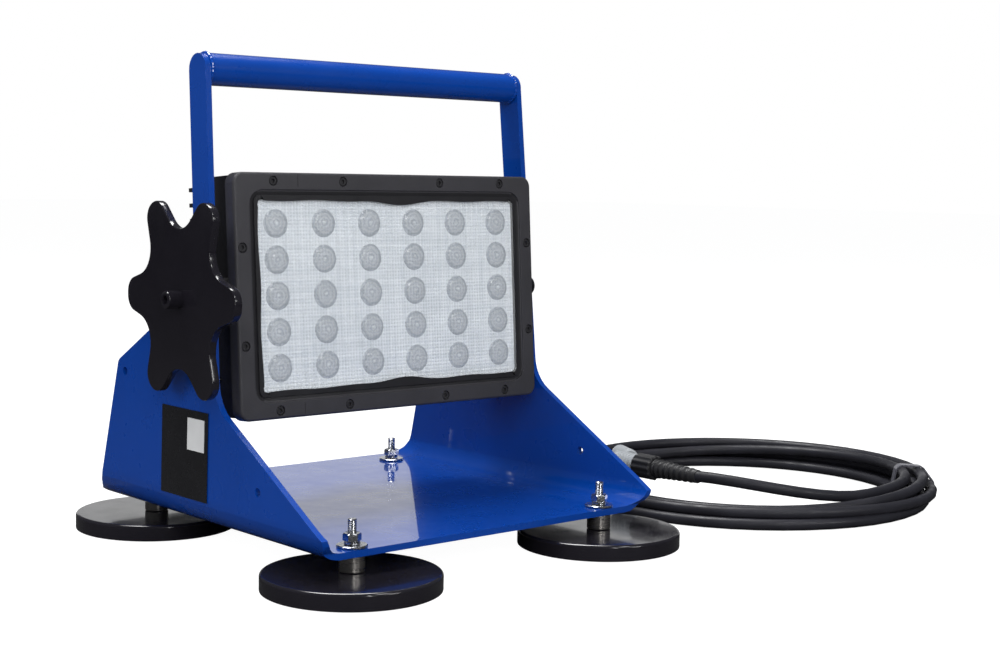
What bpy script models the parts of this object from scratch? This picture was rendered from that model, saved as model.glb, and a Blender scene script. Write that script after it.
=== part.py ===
"""Portable LED work light on a folded steel bracket with four magnet feet.

Metres, +Z up, the lamp faces -Y. The origin is on the floor under the middle of
the object's bounding box, without its power cord.
"""

import math

import bmesh
import bpy
from mathutils import Vector

MM = 0.001
GAP = 0.3 * MM  # clearance that touching pieces keep

# Bracket: one folded plate, a base with two leaning side walls
PLATE = 4.76 * MM
BASE_BOTTOM = 24.2 * MM
BASE_TOP = BASE_BOTTOM + PLATE
BEND_RADIUS = 21.0 * MM
WALL_LEAN = 0.02  # each wall comes in by this much per unit of height
WALL_HALF_WIDTH = 149.9 * MM  # outer face at WALL_REFERENCE_Z
WALL_REFERENCE_Z = 300.0 * MM
UPRIGHT_WIDTH = 22.1 * MM
UPRIGHT_LEAN = 0.087  # the uprights lean back by this much per unit of height

# Carrying handle
HANDLE_Y = 15.3 * MM
HANDLE_Z = 350.7 * MM
HANDLE_RADIUS = 11.6 * MM

# Magnet feet and their hardware
FOOT_X = 116.4 * MM
FOOT_Y = 129.8 * MM
MAGNET_RADIUS = 62.0 * MM
MAGNET_HEIGHT = 12.2 * MM
POST_RADIUS = 9.0 * MM
STUD_RADIUS = 3.175 * MM
STUD_TOP = 48.4 * MM
WASHER_RADIUS = 10.75 * MM
WASHER_THICKNESS = 1.6 * MM
NUT_FLATS = 11.1 * MM
NUT_HEIGHT = 5.6 * MM
HOLE_CLEARANCE = 0.35 * MM

# Lamp, in its own frame: origin on the tilt axis, front towards -Y
PIVOT_Y = 1.2 * MM
PIVOT_Z = 189.0 * MM
LAMP_TILT = math.radians(3.93)
BEZEL_WIDTH = 280.6 * MM
BEZEL_HEIGHT = 176.4 * MM
BEZEL_FRONT = -25.55 * MM
BEZEL_DEPTH = 11.0 * MM
BEZEL_CORNER = 8.0 * MM
WINDOW_WIDTH = 242.0 * MM
WINDOW_HEIGHT = 138.0 * MM
WINDOW_CORNER = 5.0 * MM
LENS_RECESS = 0.4 * MM
LENS_THICKNESS = 3.0 * MM
TRAY_DEPTH = 8.0 * MM
BOARD_THICKNESS = 3.0 * MM
LED_COLUMNS = 6
LED_ROWS = 5
LED_PITCH_X = 41.67 * MM
LED_PITCH_Z = 25.91 * MM
REFLECTOR_RADIUS = 11.0 * MM
GASKET_THICKNESS = 1.4 * MM
HOUSING_WIDTH = 262.0 * MM
HOUSING_HEIGHT = 174.0 * MM
HOUSING_SHELL_END = 20.0 * MM
FIN_SPAN = 161.0 * MM
HOUSING_FIN_ROOT = 28.0 * MM
HOUSING_FIN_END = 50.5 * MM
FIN_COUNT = 15
FIN_THICKNESS = 3.0 * MM
POCKET_WIDTH = 246.0 * MM
POCKET_HEIGHT = 142.0 * MM
POCKET_END = 18.0 * MM
DRIVER_SIZE = (190.0 * MM, 20.0 * MM, 80.0 * MM)
WIRING_BOX_SIZE = (96.0 * MM, 22.0 * MM, 56.0 * MM)
WIRING_BOX_Z = -2.2 * MM

# Pivots and the clamping knob
BOSS_RADIUS = 14.0 * MM
BOSS_END = 143.0 * MM
DISC_END = 146.4 * MM
PIVOT_BOLT_RADIUS = 4.0 * MM
PIVOT_BOLT_END = 133.0 * MM
KNOB_FACE_X = -172.0 * MM
KNOB_THICKNESS = 6.0 * MM
KNOB_TIP_RADII = (73.0 * MM, 76.5 * MM, 76.5 * MM)  # they repeat round the knob
KNOB_VALLEY_RADIUS = 41.3 * MM
KNOB_VALLEY_FILLET = 20.0 * MM
KNOB_TIP_FILLET = 12.0 * MM
KNOB_LOBE_HALF_WIDTH = 9.8 * MM  # of the outline before its corners are rounded
KNOB_LOBES = 6
KNOB_HUB_RADIUS = 17.0 * MM
KNOB_SCREW_RADIUS = 6.3 * MM
KNOB_SCREW_END_X = -183.0 * MM
KNOB_SOCKET_FLATS = 6.0 * MM
KNOB_SOCKET_DEPTH = 7.0 * MM

# Small things on the walls
REAR_HOLE = (112.1 * MM, 126.4 * MM)
FRONT_HOLE = (-73.3 * MM, 61.2 * MM)
WALL_HOLE_RADIUS = 3.25 * MM
STOP_SCREW = (-7.0 * MM, 131.0 * MM)
LABEL_Y = (-9.0 * MM, 54.6 * MM)
LABEL_Z = (43.5 * MM, 108.0 * MM)
LABEL_THICKNESS = 0.5 * MM

# Power cord, in the frame of the bracket
CORD_RADIUS = 4.65 * MM
CLIP_Y = 98.0 * MM
CLIP_Z = REAR_HOLE[1]
CLIP_X = 161.5 * MM
CLIP_WIDTH = 12.0 * MM
COIL_CENTRE = (365.0 * MM, -57.0 * MM)
COIL_INNER = 95.0 * MM
COIL_OUTER = 160.0 * MM
COIL_BOTTOM = 1.6 * MM
COIL_TOP = 28.0 * MM
PLUG_X = 234.0 * MM
PLUG_Z = 39.0 * MM

# Half the distance by which the knob reaches further out than the feet: it
# puts the origin under the middle of the bounding box.
CENTRE_SHIFT = -0.5 * (KNOB_SCREW_END_X + FOOT_X + MAGNET_RADIUS)

# Route of the lamp's lead from its gland over the right wall to the cord clip,
# and of the cord from the clip down to the floor and up to the coil.
LEAD_ROUTE = [
    (74.6, 62.7, 182.6),
    (91.0, 64.5, 182.6),
    (107.0, 70.0, 182.1),
    (122.0, 78.5, 180.4),
    (136.0, 88.0, 176.0),
    (148.0, 95.0, 168.0),
    (156.5, 97.3, 157.5),
    (160.9, 98.0, 146.0),
    (161.5, 98.0, 138.0),
    (161.5, 98.0, 132.0),
    (161.5, 98.0, 126.6),
]
TAIL_ROUTE = [
    (161.5, 98.0, 126.2),
    (161.5, 98.0, 119.0),
    (161.5, 98.0, 111.0),
    (161.9, 98.0, 94.0),
    (163.5, 97.8, 74.0),
    (167.5, 97.0, 54.0),
    (175.5, 95.5, 34.0),
    (189.0, 92.5, 18.0),
    (206.0, 89.0, 9.6),
    (224.0, 86.0, 6.2),
    (243.0, 84.5, 5.2),
    (264.0, 85.5, 5.0),
    (283.0, 89.2, 5.0),
    (300.0, 95.0, 5.0),
]


def clear_scene():
    for obj in list(bpy.data.objects):
        bpy.data.objects.remove(obj, do_unlink=True)


def new_collection(name, hidden=False):
    collection = bpy.data.collections.new(name)
    collection.hide_render = hidden
    bpy.context.scene.collection.children.link(collection)
    return collection


clear_scene()
PARTS = new_collection("work_light")
CUTTERS = new_collection("work_light_cutters", hidden=True)


def paint(name, colour, roughness, metallic=0.0, alpha=1.0):
    material = bpy.data.materials.new(name)
    material.use_nodes = True
    shader = material.node_tree.nodes["Principled BSDF"]
    shader.inputs["Base Color"].default_value = (*colour, 1.0)
    shader.inputs["Roughness"].default_value = roughness
    shader.inputs["Metallic"].default_value = metallic
    shader.inputs["Alpha"].default_value = alpha
    return material


BLUE = paint("blue_powder_coat", (0.005, 0.05, 0.42), 0.22)
BLACK_COAT = paint("black_coated_aluminium", (0.015, 0.015, 0.016), 0.45, 0.3)
GLOSS_BLACK = paint("gloss_black_enamel", (0.008, 0.008, 0.009), 0.12)
STEEL = paint("zinc_plated_steel", (0.62, 0.61, 0.58), 0.3, 1.0)
DARK_STEEL = paint("turned_steel", (0.30, 0.29, 0.28), 0.35, 1.0)
CLEAR = paint("clear_lens", (0.9, 0.93, 0.95), 0.05, 0.0, 0.35)
REFLECTOR = paint("reflector_white", (0.78, 0.80, 0.82), 0.3)
BOARD = paint("board_white", (0.75, 0.76, 0.74), 0.5)
FERRITE = paint("ferrite", (0.06, 0.06, 0.065), 0.6)
RUBBER = paint("black_rubber", (0.02, 0.02, 0.02), 0.7)
JACKET = paint("cord_jacket", (0.025, 0.025, 0.027), 0.5)
GREY_PLASTIC = paint("grey_plastic", (0.42, 0.43, 0.44), 0.45)
BLACK_PLASTIC = paint("black_plastic", (0.02, 0.02, 0.022), 0.4)
LABEL = paint("label_film", (0.02, 0.02, 0.022), 0.3)
TIE = paint("tie_film", (0.7, 0.7, 0.68), 0.4)


def new_empty(name, location, parent=None, tilt=0.0):
    empty = bpy.data.objects.new(name, None)
    PARTS.objects.link(empty)
    empty.parent = parent
    empty.location = location
    empty.rotation_euler = (tilt, 0.0, 0.0)
    return empty


ORIGIN = new_empty("bracket_frame", (CENTRE_SHIFT, 0.0, 0.0))
LAMP_AXIS = new_empty("lamp_axis", (0.0, PIVOT_Y, PIVOT_Z), ORIGIN, -LAMP_TILT)
KNOB_AXIS = new_empty("knob_axis", (0.0, PIVOT_Y, PIVOT_Z), ORIGIN)


def place(obj, material=None, parent=ORIGIN):
    """Puts an object in the model, or among the cutters where it has no material."""
    obj.parent = parent
    if material:
        PARTS.objects.link(obj)
        obj.data.materials.append(material)
        return obj
    CUTTERS.objects.link(obj)
    obj.hide_render = True
    obj.display_type = "WIRE"
    return obj


def smooth(mesh):
    mesh.shade_smooth()
    mesh.set_sharp_from_angle(angle=math.radians(35))


def mesh_of_curve(curve_object):
    """The closed mesh of a filled or bevelled curve object, which is removed."""
    PARTS.objects.link(curve_object)
    graph = bpy.context.evaluated_depsgraph_get()
    graph.update()
    mesh = bpy.data.meshes.new_from_object(curve_object.evaluated_get(graph))
    bpy.data.objects.remove(curve_object)
    shape = bmesh.new()
    shape.from_mesh(mesh)
    bmesh.ops.remove_doubles(shape, verts=shape.verts, dist=1e-6)
    bmesh.ops.recalc_face_normals(shape, faces=shape.faces)
    shape.to_mesh(mesh)
    shape.free()
    return mesh


def prism(name, loops, thickness, plane="XY", centre=0.0):
    """A flat outline with holes, extruded by its thickness about centre."""
    curve = bpy.data.curves.new(name, "CURVE")
    curve.dimensions = "2D"
    curve.fill_mode = "BOTH"
    curve.extrude = thickness / 2
    for loop in loops:
        spline = curve.splines.new("POLY")
        spline.points.add(len(loop) - 1)
        for point, (across, up) in zip(spline.points, loop):
            point.co = (across, up, 0.0, 1.0)
        spline.use_cyclic_u = True
    mesh = mesh_of_curve(bpy.data.objects.new(name, curve))
    shape = bmesh.new()
    shape.from_mesh(mesh)
    for vertex in shape.verts:
        across, up, along = vertex.co
        along += centre
        vertex.co = {
            "XY": (across, up, along),
            "XZ": (across, along, up),
            "YZ": (along, across, up),
        }[plane]
    if plane == "XZ":
        bmesh.ops.reverse_faces(shape, faces=shape.faces)
    shape.to_mesh(mesh)
    shape.free()
    return bpy.data.objects.new(name, mesh)


def box(name, size, centre, bevel=0.0):
    mesh = bpy.data.meshes.new(name)
    shape = bmesh.new()
    bmesh.ops.create_cube(shape, size=1.0)
    bmesh.ops.scale(shape, vec=size, verts=shape.verts)
    bmesh.ops.translate(shape, vec=centre, verts=shape.verts)
    shape.to_mesh(mesh)
    shape.free()
    obj = bpy.data.objects.new(name, mesh)
    if bevel:
        rounding = obj.modifiers.new("rounded_edges", "BEVEL")
        rounding.width = bevel
        rounding.segments = 2
    return obj


def turned(name, profile, steps=32, axis="Z", closed=True):
    """Turns (radius, height) points, which run down the outer side, about an axis."""
    mesh = bpy.data.meshes.new(name)
    points = [(radius, 0.0, height) for radius, height in profile]
    count = len(points)
    edges = [(i, (i + 1) % count) for i in range(count if closed else count - 1)]
    mesh.from_pydata(points, edges, [])
    obj = bpy.data.objects.new(name, mesh)
    screw = obj.modifiers.new("turned", "SCREW")
    screw.steps = steps
    screw.render_steps = steps
    screw.use_merge_vertices = True
    screw.merge_threshold = 1e-6
    screw.use_smooth_shade = True
    if axis == "X":
        obj.rotation_euler = (0.0, math.radians(90), 0.0)
    if axis == "Y":
        obj.rotation_euler = (math.radians(-90), 0.0, 0.0)
    return obj


def ring(name, outer, inner, low, high, steps=32, axis="Z"):
    """A plain ring from low to high along its axis."""
    profile = [(outer, high), (outer, low), (inner, low), (inner, high)]
    return turned(name, profile, steps, axis)


def rod(name, radius, low, high, steps=16, axis="Z", chamfer=0.0):
    """A plain rod from low to high along its axis, its ends chamfered."""
    profile = [(0.0, high), (radius - chamfer, high)]
    if chamfer:
        profile += [(radius, high - chamfer), (radius, low + chamfer)]
    profile += [(radius - chamfer, low), (0.0, low)]
    return turned(name, profile, steps, axis, closed=False)


def arc_corner(before, corner, after, radius, steps):
    """The points of a round corner of an outline."""
    corner = Vector(corner)
    back = (Vector(before) - corner).normalized()
    ahead = (Vector(after) - corner).normalized()
    half = back.angle(ahead) / 2
    reach = radius / math.tan(half)
    start = corner + back * reach
    end = corner + ahead * reach
    centre = corner + (back + ahead).normalized() * (radius / math.sin(half))
    first = start - centre
    sweep = math.pi - 2 * half
    side = (end - centre) - first * math.cos(sweep)
    side = side.normalized() * radius
    turn = [sweep * i / steps for i in range(steps + 1)]
    return [tuple(centre + first * math.cos(a) + side * math.sin(a)) for a in turn]


def rounded(corners, steps=6):
    """A closed outline from (across, up, radius) corners."""
    points = []
    for i, (across, up, radius) in enumerate(corners):
        if not radius:
            points.append((across, up))
            continue
        before = corners[i - 1][:2]
        after = corners[(i + 1) % len(corners)][:2]
        points += arc_corner(before, (across, up), after, radius, steps)
    return points


def rectangle(width, height, radius, steps=4):
    half_width = width / 2
    half_height = height / 2
    signs = [(-1, -1), (1, -1), (1, 1), (-1, 1)]
    return rounded([(a * half_width, b * half_height, radius) for a, b in signs], steps)


def circle(radius, steps, centre=(0.0, 0.0), turn=0.0):
    angles = [turn + math.tau * i / steps for i in range(steps)]
    return [(centre[0] + radius * math.cos(a), centre[1] + radius * math.sin(a)) for a in angles]


def hexagon(flats):
    return circle(flats / math.sqrt(3), 6)


def boolean(obj, other, operation="DIFFERENCE"):
    cut = obj.modifiers.new(operation.lower(), "BOOLEAN")
    cut.operation = operation
    cut.solver = "EXACT"
    cut.object = other


def smooth_route(points, spacing):
    """Points at even steps on a Catmull-Rom curve through a route given in mm."""
    route = [Vector(p) * MM for p in points]
    route = [2 * route[0] - route[1], *route, 2 * route[-1] - route[-2]]
    dense = []
    for p0, p1, p2, p3 in zip(route, route[1:], route[2:], route[3:]):
        for i in range(24):
            t = i / 24
            dense.append(
                0.5
                * (
                    2 * p1
                    + (p2 - p0) * t
                    + (2 * p0 - 5 * p1 + 4 * p2 - p3) * t**2
                    + (3 * p1 - p0 - 3 * p2 + p3) * t**3
                )
            )
    dense.append(route[-2])
    lengths = [0.0]
    for a, b in zip(dense, dense[1:]):
        lengths.append(lengths[-1] + (b - a).length)
    count = max(3, round(lengths[-1] / spacing))
    even = []
    for k in range(count + 1):
        wanted = lengths[-1] * k / count
        i = max(j for j in range(len(dense)) if lengths[j] <= wanted + 1e-12)
        even.append(dense[i])
    return even


def cord_tube(name, route):
    """A cord's own solid along its route."""
    curve = bpy.data.curves.new(name, "CURVE")
    curve.dimensions = "3D"
    curve.bevel_depth = CORD_RADIUS
    curve.bevel_resolution = 2
    curve.use_fill_caps = True
    points = smooth_route(route, 5 * CORD_RADIUS)
    spline = curve.splines.new("POLY")
    spline.points.add(len(points) - 1)
    for point, place_at in zip(spline.points, points):
        point.co = (*place_at, 1.0)
    return bpy.data.objects.new(name, curve)


def wall_face(height):
    """How far out the outer face of a side wall is at a height."""
    return WALL_HALF_WIDTH - WALL_LEAN * (height - WALL_REFERENCE_Z)


def front_edge(height):
    """Y of the front edge of an upright at a height."""
    return -0.2 * MM + UPRIGHT_LEAN * (height - WALL_REFERENCE_Z)


def channel_outline():
    """The bracket's cross-section: base, two bends and two leaning walls."""
    top = 380.0 * MM
    half = wall_face(BASE_BOTTOM)
    inner = half - PLATE
    outside = [
        (-wall_face(top), top, 0),
        (-half, BASE_BOTTOM, BEND_RADIUS),
        (half, BASE_BOTTOM, BEND_RADIUS),
        (wall_face(top), top, 0),
    ]
    inside = [
        (wall_face(top) - PLATE, top, 0),
        (inner, BASE_TOP, BEND_RADIUS - PLATE),
        (-inner, BASE_TOP, BEND_RADIUS - PLATE),
        (PLATE - wall_face(top), top, 0),
    ]
    return rounded(outside + inside, 8)


def side_outline():
    """The bracket seen from the side: sloped wings and an upright with a round top."""
    upright_top = HANDLE_Z
    arch = []
    for i in range(13):
        angle = math.radians(-5 + 190 * i / 12)
        arch.append(
            (
                HANDLE_Y + UPRIGHT_WIDTH / 2 * math.cos(angle),
                upright_top + UPRIGHT_WIDTH / 2 * math.sin(angle),
                0,
            )
        )
    front_corner = 114.7 * MM
    rear_corner = 197.1 * MM
    return rounded(
        [
            (-140.8 * MM, BASE_BOTTOM - 1 * MM, 0),
            (-141.2 * MM, 29.5 * MM, 0),
            (-145.0 * MM, 32.5 * MM, 0),
            (-148.0 * MM, 36.5 * MM, 0),
            (-148.4 * MM, 40.3 * MM, 0),
            (front_edge(front_corner), front_corner, 30 * MM),
            *arch[::-1],
            (front_edge(rear_corner) + UPRIGHT_WIDTH, rear_corner, 22 * MM),
            (122.8 * MM, 134.1 * MM, 6 * MM),
            (144.7 * MM, 49.2 * MM, 0),
            (147.0 * MM, 41.5 * MM, 0),
            (151.0 * MM, 35.0 * MM, 0),
            (155.5 * MM, 31.0 * MM, 0),
            (160.0 * MM, 28.9 * MM, 0),
            (160.5 * MM, BASE_BOTTOM - 1 * MM, 0),
        ]
    )


def make_bracket():
    bracket = prism("bracket", [channel_outline()], 400 * MM, "XZ")
    silhouette = prism("side_silhouette", [side_outline()], 400 * MM, "YZ")
    boolean(bracket, place(silhouette), "INTERSECT")
    for x in (-FOOT_X, FOOT_X):
        for y in (-FOOT_Y, FOOT_Y):
            hole = rod("foot_hole", STUD_RADIUS + HOLE_CLEARANCE, 15 * MM, 40 * MM)
            hole.location = (x, y, 0.0)
            boolean(bracket, place(hole))
    span = 170 * MM
    pivot = rod("pivot_hole", PIVOT_BOLT_RADIUS + HOLE_CLEARANCE, -span, span, 24, "X")
    pivot.location = (0.0, PIVOT_Y, PIVOT_Z)
    boolean(bracket, place(pivot))
    for y, z in (REAR_HOLE, FRONT_HOLE):
        hole = rod("wall_hole", WALL_HOLE_RADIUS, -span, span, 16, "X")
        hole.location = (0.0, y, z)
        boolean(bracket, place(hole))
    stop = rod("stop_hole", 2.4 * MM, 0.12, span, 12, "X")
    stop.rotation_euler = (0.0, math.radians(-90), 0.0)
    stop.location = (0.0, *STOP_SCREW)
    boolean(bracket, place(stop))
    place(bracket, BLUE)


def make_handle():
    half = wall_face(HANDLE_Z) - PLATE - 2 * GAP
    handle = rod("handle_tube", HANDLE_RADIUS, -half, half, 32, "X")
    handle.location = (0.0, HANDLE_Y, HANDLE_Z)
    place(handle, BLUE)


def make_foot(tag, x, y):
    """A pot magnet on its post, studded through the base and nutted on top."""
    bore = STUD_RADIUS + GAP
    edge = 1.6 * MM
    cup = turned(
        f"magnet_cup_{tag}",
        [
            (0.0, MAGNET_HEIGHT),
            (MAGNET_RADIUS - 2 * edge, MAGNET_HEIGHT),
            (MAGNET_RADIUS - 0.6 * edge, MAGNET_HEIGHT - 0.4 * edge),
            (MAGNET_RADIUS, MAGNET_HEIGHT - 1.4 * edge),
            (MAGNET_RADIUS, 0.5 * edge),
            (MAGNET_RADIUS - 0.5 * edge, 0.0),
            (MAGNET_RADIUS - 4 * MM, 0.0),
            (MAGNET_RADIUS - 4 * MM, 8.5 * MM),
            (0.0, 8.5 * MM),
        ],
        40,
        closed=False,
    )
    core = ring(f"magnet_core_{tag}", 57.5 * MM, 12 * MM, 0.6 * MM, 8.2 * MM)
    post = ring(f"spacer_post_{tag}", POST_RADIUS, bore, MAGNET_HEIGHT + GAP, BASE_BOTTOM - GAP, 24)
    stud = rod(f"stud_{tag}", STUD_RADIUS, MAGNET_HEIGHT + GAP, STUD_TOP, 16, "Z", 0.6 * MM)
    low = BASE_TOP + GAP
    high = low + WASHER_THICKNESS
    washer = ring(f"washer_{tag}", WASHER_RADIUS, bore, low, high, 24)
    low = high + GAP
    high = low + WASHER_THICKNESS
    lock_washer = ring(f"lock_washer_{tag}", 5.6 * MM, bore, low, high, 16)
    low = high + GAP
    loops = [hexagon(NUT_FLATS), circle(bore, 16)]
    nut = prism(f"nut_{tag}", loops, NUT_HEIGHT, "XY", low + NUT_HEIGHT / 2)
    pieces = [
        (cup, GLOSS_BLACK),
        (core, FERRITE),
        (post, DARK_STEEL),
        (stud, STEEL),
        (washer, STEEL),
        (lock_washer, STEEL),
        (nut, STEEL),
    ]
    for piece, material in pieces:
        piece.location = (x, y, 0.0)
        place(piece, material)


def housing_outline():
    """The housing from the side: a box whose back is cut into horizontal fins."""
    front = BEZEL_FRONT + BEZEL_DEPTH + 2 * GAP + GASKET_THICKNESS
    half = HOUSING_HEIGHT / 2
    pitch = (FIN_SPAN - FIN_THICKNESS) / (FIN_COUNT - 1)
    points = [(front, half), (front, -half), (HOUSING_SHELL_END, -half)]
    points.append((HOUSING_SHELL_END, -FIN_SPAN / 2))
    for i in range(FIN_COUNT):
        low = -FIN_SPAN / 2 + i * pitch
        high = low + FIN_THICKNESS
        if i:
            points.append((HOUSING_FIN_ROOT, low))
        points.append((HOUSING_FIN_END, low))
        points.append((HOUSING_FIN_END, high))
        if i < FIN_COUNT - 1:
            points.append((HOUSING_FIN_ROOT, high))
    points += [(HOUSING_SHELL_END, FIN_SPAN / 2), (HOUSING_SHELL_END, half)]
    return points


def make_lamp():
    """Everything that tilts, each piece in the frame of the tilt axis."""
    bezel_back = BEZEL_FRONT + BEZEL_DEPTH
    loops = [
        rectangle(BEZEL_WIDTH, BEZEL_HEIGHT, BEZEL_CORNER),
        rectangle(WINDOW_WIDTH, WINDOW_HEIGHT, WINDOW_CORNER),
    ]
    bezel = prism("bezel", loops, BEZEL_DEPTH, "XZ", BEZEL_FRONT + BEZEL_DEPTH / 2)
    place(bezel, BLACK_COAT, LAMP_AXIS)

    fit = 2 * GAP
    inside = rectangle(WINDOW_WIDTH - fit, WINDOW_HEIGHT - fit, WINDOW_CORNER)
    lens_back = BEZEL_FRONT + LENS_RECESS + LENS_THICKNESS
    lens = prism("lens", [inside], LENS_THICKNESS, "XZ", lens_back - LENS_THICKNESS / 2)
    place(lens, CLEAR, LAMP_AXIS)

    tray_back = lens_back + GAP + TRAY_DEPTH
    holes = []
    for column in range(LED_COLUMNS):
        for row in range(LED_ROWS):
            x = (column - (LED_COLUMNS - 1) / 2) * LED_PITCH_X
            z = (row - (LED_ROWS - 1) / 2) * LED_PITCH_Z
            holes.append(circle(REFLECTOR_RADIUS, 12, (x, z)))
    tray = prism("reflector_tray", [inside, *holes], TRAY_DEPTH, "XZ", tray_back - TRAY_DEPTH / 2)
    place(tray, REFLECTOR, LAMP_AXIS)

    board_back = tray_back + GAP + BOARD_THICKNESS
    board_outline = rectangle(WINDOW_WIDTH - 4 * MM, WINDOW_HEIGHT - 2 * MM, WINDOW_CORNER)
    board_middle = board_back - BOARD_THICKNESS / 2
    board = prism("led_board", [board_outline], BOARD_THICKNESS, "XZ", board_middle)
    place(board, BOARD, LAMP_AXIS)

    driver_y = board_back + GAP + DRIVER_SIZE[1] / 2
    place(box("led_driver", DRIVER_SIZE, (0.0, driver_y, 0.0), 1 * MM), GREY_PLASTIC, LAMP_AXIS)

    loops = [
        rectangle(HOUSING_WIDTH - 1 * MM, HOUSING_HEIGHT - 6 * MM, BEZEL_CORNER),
        rectangle(POCKET_WIDTH, POCKET_HEIGHT, WINDOW_CORNER),
    ]
    gasket_middle = bezel_back + GAP + GASKET_THICKNESS / 2
    gasket = prism("bezel_gasket", loops, GASKET_THICKNESS, "XZ", gasket_middle)
    place(gasket, RUBBER, LAMP_AXIS)

    housing = prism("lamp_housing", [housing_outline()], HOUSING_WIDTH, "YZ")
    pocket_depth = 60 * MM
    pocket_outline = rectangle(POCKET_WIDTH, POCKET_HEIGHT, WINDOW_CORNER)
    pocket_middle = POCKET_END - pocket_depth / 2
    pocket = prism("housing_pocket", [pocket_outline], pocket_depth, "XZ", pocket_middle)
    boolean(housing, place(pocket, parent=LAMP_AXIS))
    place(housing, BLACK_COAT, LAMP_AXIS)


def make_wiring_box():
    """The cable entry on the back of the fins, and its gland."""
    low = HOUSING_FIN_END + GAP
    width, depth, _ = WIRING_BOX_SIZE
    centre = (0.0, low + depth / 2, WIRING_BOX_Z)
    place(box("wiring_box", WIRING_BOX_SIZE, centre, 2 * MM), BLACK_COAT, LAMP_AXIS)
    start = width / 2 + GAP
    gland = turned(
        "cable_gland",
        [
            (5.2 * MM, start + 26 * MM),
            (7.0 * MM, start + 26 * MM),
            (9.5 * MM, start + 20 * MM),
            (9.5 * MM, start + 9 * MM),
            (11.0 * MM, start + 8 * MM),
            (11.0 * MM, start),
            (5.2 * MM, start),
        ],
        24,
        "X",
    )
    gland.location = (0.0, low + depth / 2, WIRING_BOX_Z)
    place(gland, BLACK_PLASTIC, LAMP_AXIS)


def make_pivots():
    """The bosses and friction discs on the lamp, and the bolt on the right."""
    bore = PIVOT_BOLT_RADIUS + GAP
    half = HOUSING_WIDTH / 2 + GAP
    for tag, side in (("left", -1), ("right", 1)):
        spans = [("pivot_boss", half, BOSS_END), ("friction_disc", BOSS_END + GAP, DISC_END)]
        for kind, low, high in spans:
            near = min(side * low, side * high)
            far = max(side * low, side * high)
            piece = ring(f"{kind}_{tag}", BOSS_RADIUS, bore, near, far, 24, "X")
            place(piece, BLACK_COAT if kind == "pivot_boss" else RUBBER, LAMP_AXIS)
    face = wall_face(PIVOT_Z) + 2 * GAP
    head = [
        (0.0, face + 7 * MM),
        (6.5 * MM, face + 7 * MM),
        (7.5 * MM, face + 6 * MM),
        (7.5 * MM, face + 2 * MM),
        (10.0 * MM, face + 2 * MM),
        (10.0 * MM, face),
        (PIVOT_BOLT_RADIUS, face),
        (PIVOT_BOLT_RADIUS, PIVOT_BOLT_END),
        (0.0, PIVOT_BOLT_END),
    ]
    place(turned("pivot_bolt_right", head, 24, "X", closed=False), GLOSS_BLACK, LAMP_AXIS)


def star_outline():
    """Six round-ended lobes that widen towards the valleys between them."""
    corners = []
    for i in range(KNOB_LOBES):
        middle = math.tau * i / KNOB_LOBES
        ahead = Vector((math.cos(middle), math.sin(middle)))
        side = Vector((-ahead.y, ahead.x))
        reach = KNOB_TIP_RADII[i % len(KNOB_TIP_RADII)]
        turn = middle - math.pi / KNOB_LOBES
        valley = Vector((math.cos(turn), math.sin(turn))) * KNOB_VALLEY_RADIUS
        corners.append((*valley, KNOB_VALLEY_FILLET))
        for sign in (-1, 1):
            tip = ahead * reach + side * KNOB_LOBE_HALF_WIDTH * sign
            corners.append((*tip, KNOB_TIP_FILLET))
    return rounded(corners, 7)


def make_knob():
    """The star knob, its hub and the socket screw through them."""
    hole = circle(KNOB_SCREW_RADIUS + GAP, 24)
    middle = KNOB_FACE_X + KNOB_THICKNESS / 2
    star = prism("star_knob", [star_outline(), hole], KNOB_THICKNESS, "YZ", middle)
    place(star, GLOSS_BLACK, KNOB_AXIS)
    hub_low = KNOB_FACE_X + KNOB_THICKNESS + GAP
    hub_high = -wall_face(PIVOT_Z) - 2 * GAP
    bore = PIVOT_BOLT_RADIUS + GAP
    hub = ring("knob_hub", KNOB_HUB_RADIUS, bore, hub_low, hub_high, 24, "X")
    place(hub, GLOSS_BLACK, KNOB_AXIS)
    shoulder = hub_low - 2 * GAP
    screw = turned(
        "knob_screw",
        [
            (0.0, -PIVOT_BOLT_END),
            (PIVOT_BOLT_RADIUS, -PIVOT_BOLT_END),
            (PIVOT_BOLT_RADIUS, shoulder),
            (KNOB_SCREW_RADIUS, shoulder),
            (KNOB_SCREW_RADIUS, KNOB_SCREW_END_X + 0.8 * MM),
            (KNOB_SCREW_RADIUS - 0.8 * MM, KNOB_SCREW_END_X),
            (0.0, KNOB_SCREW_END_X),
        ],
        24,
        "X",
        closed=False,
    )
    loops = [hexagon(KNOB_SOCKET_FLATS)]
    socket = prism("hex_socket", loops, 2 * KNOB_SOCKET_DEPTH, "YZ", KNOB_SCREW_END_X)
    boolean(screw, place(socket, parent=KNOB_AXIS))
    place(screw, GLOSS_BLACK, KNOB_AXIS)


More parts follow.
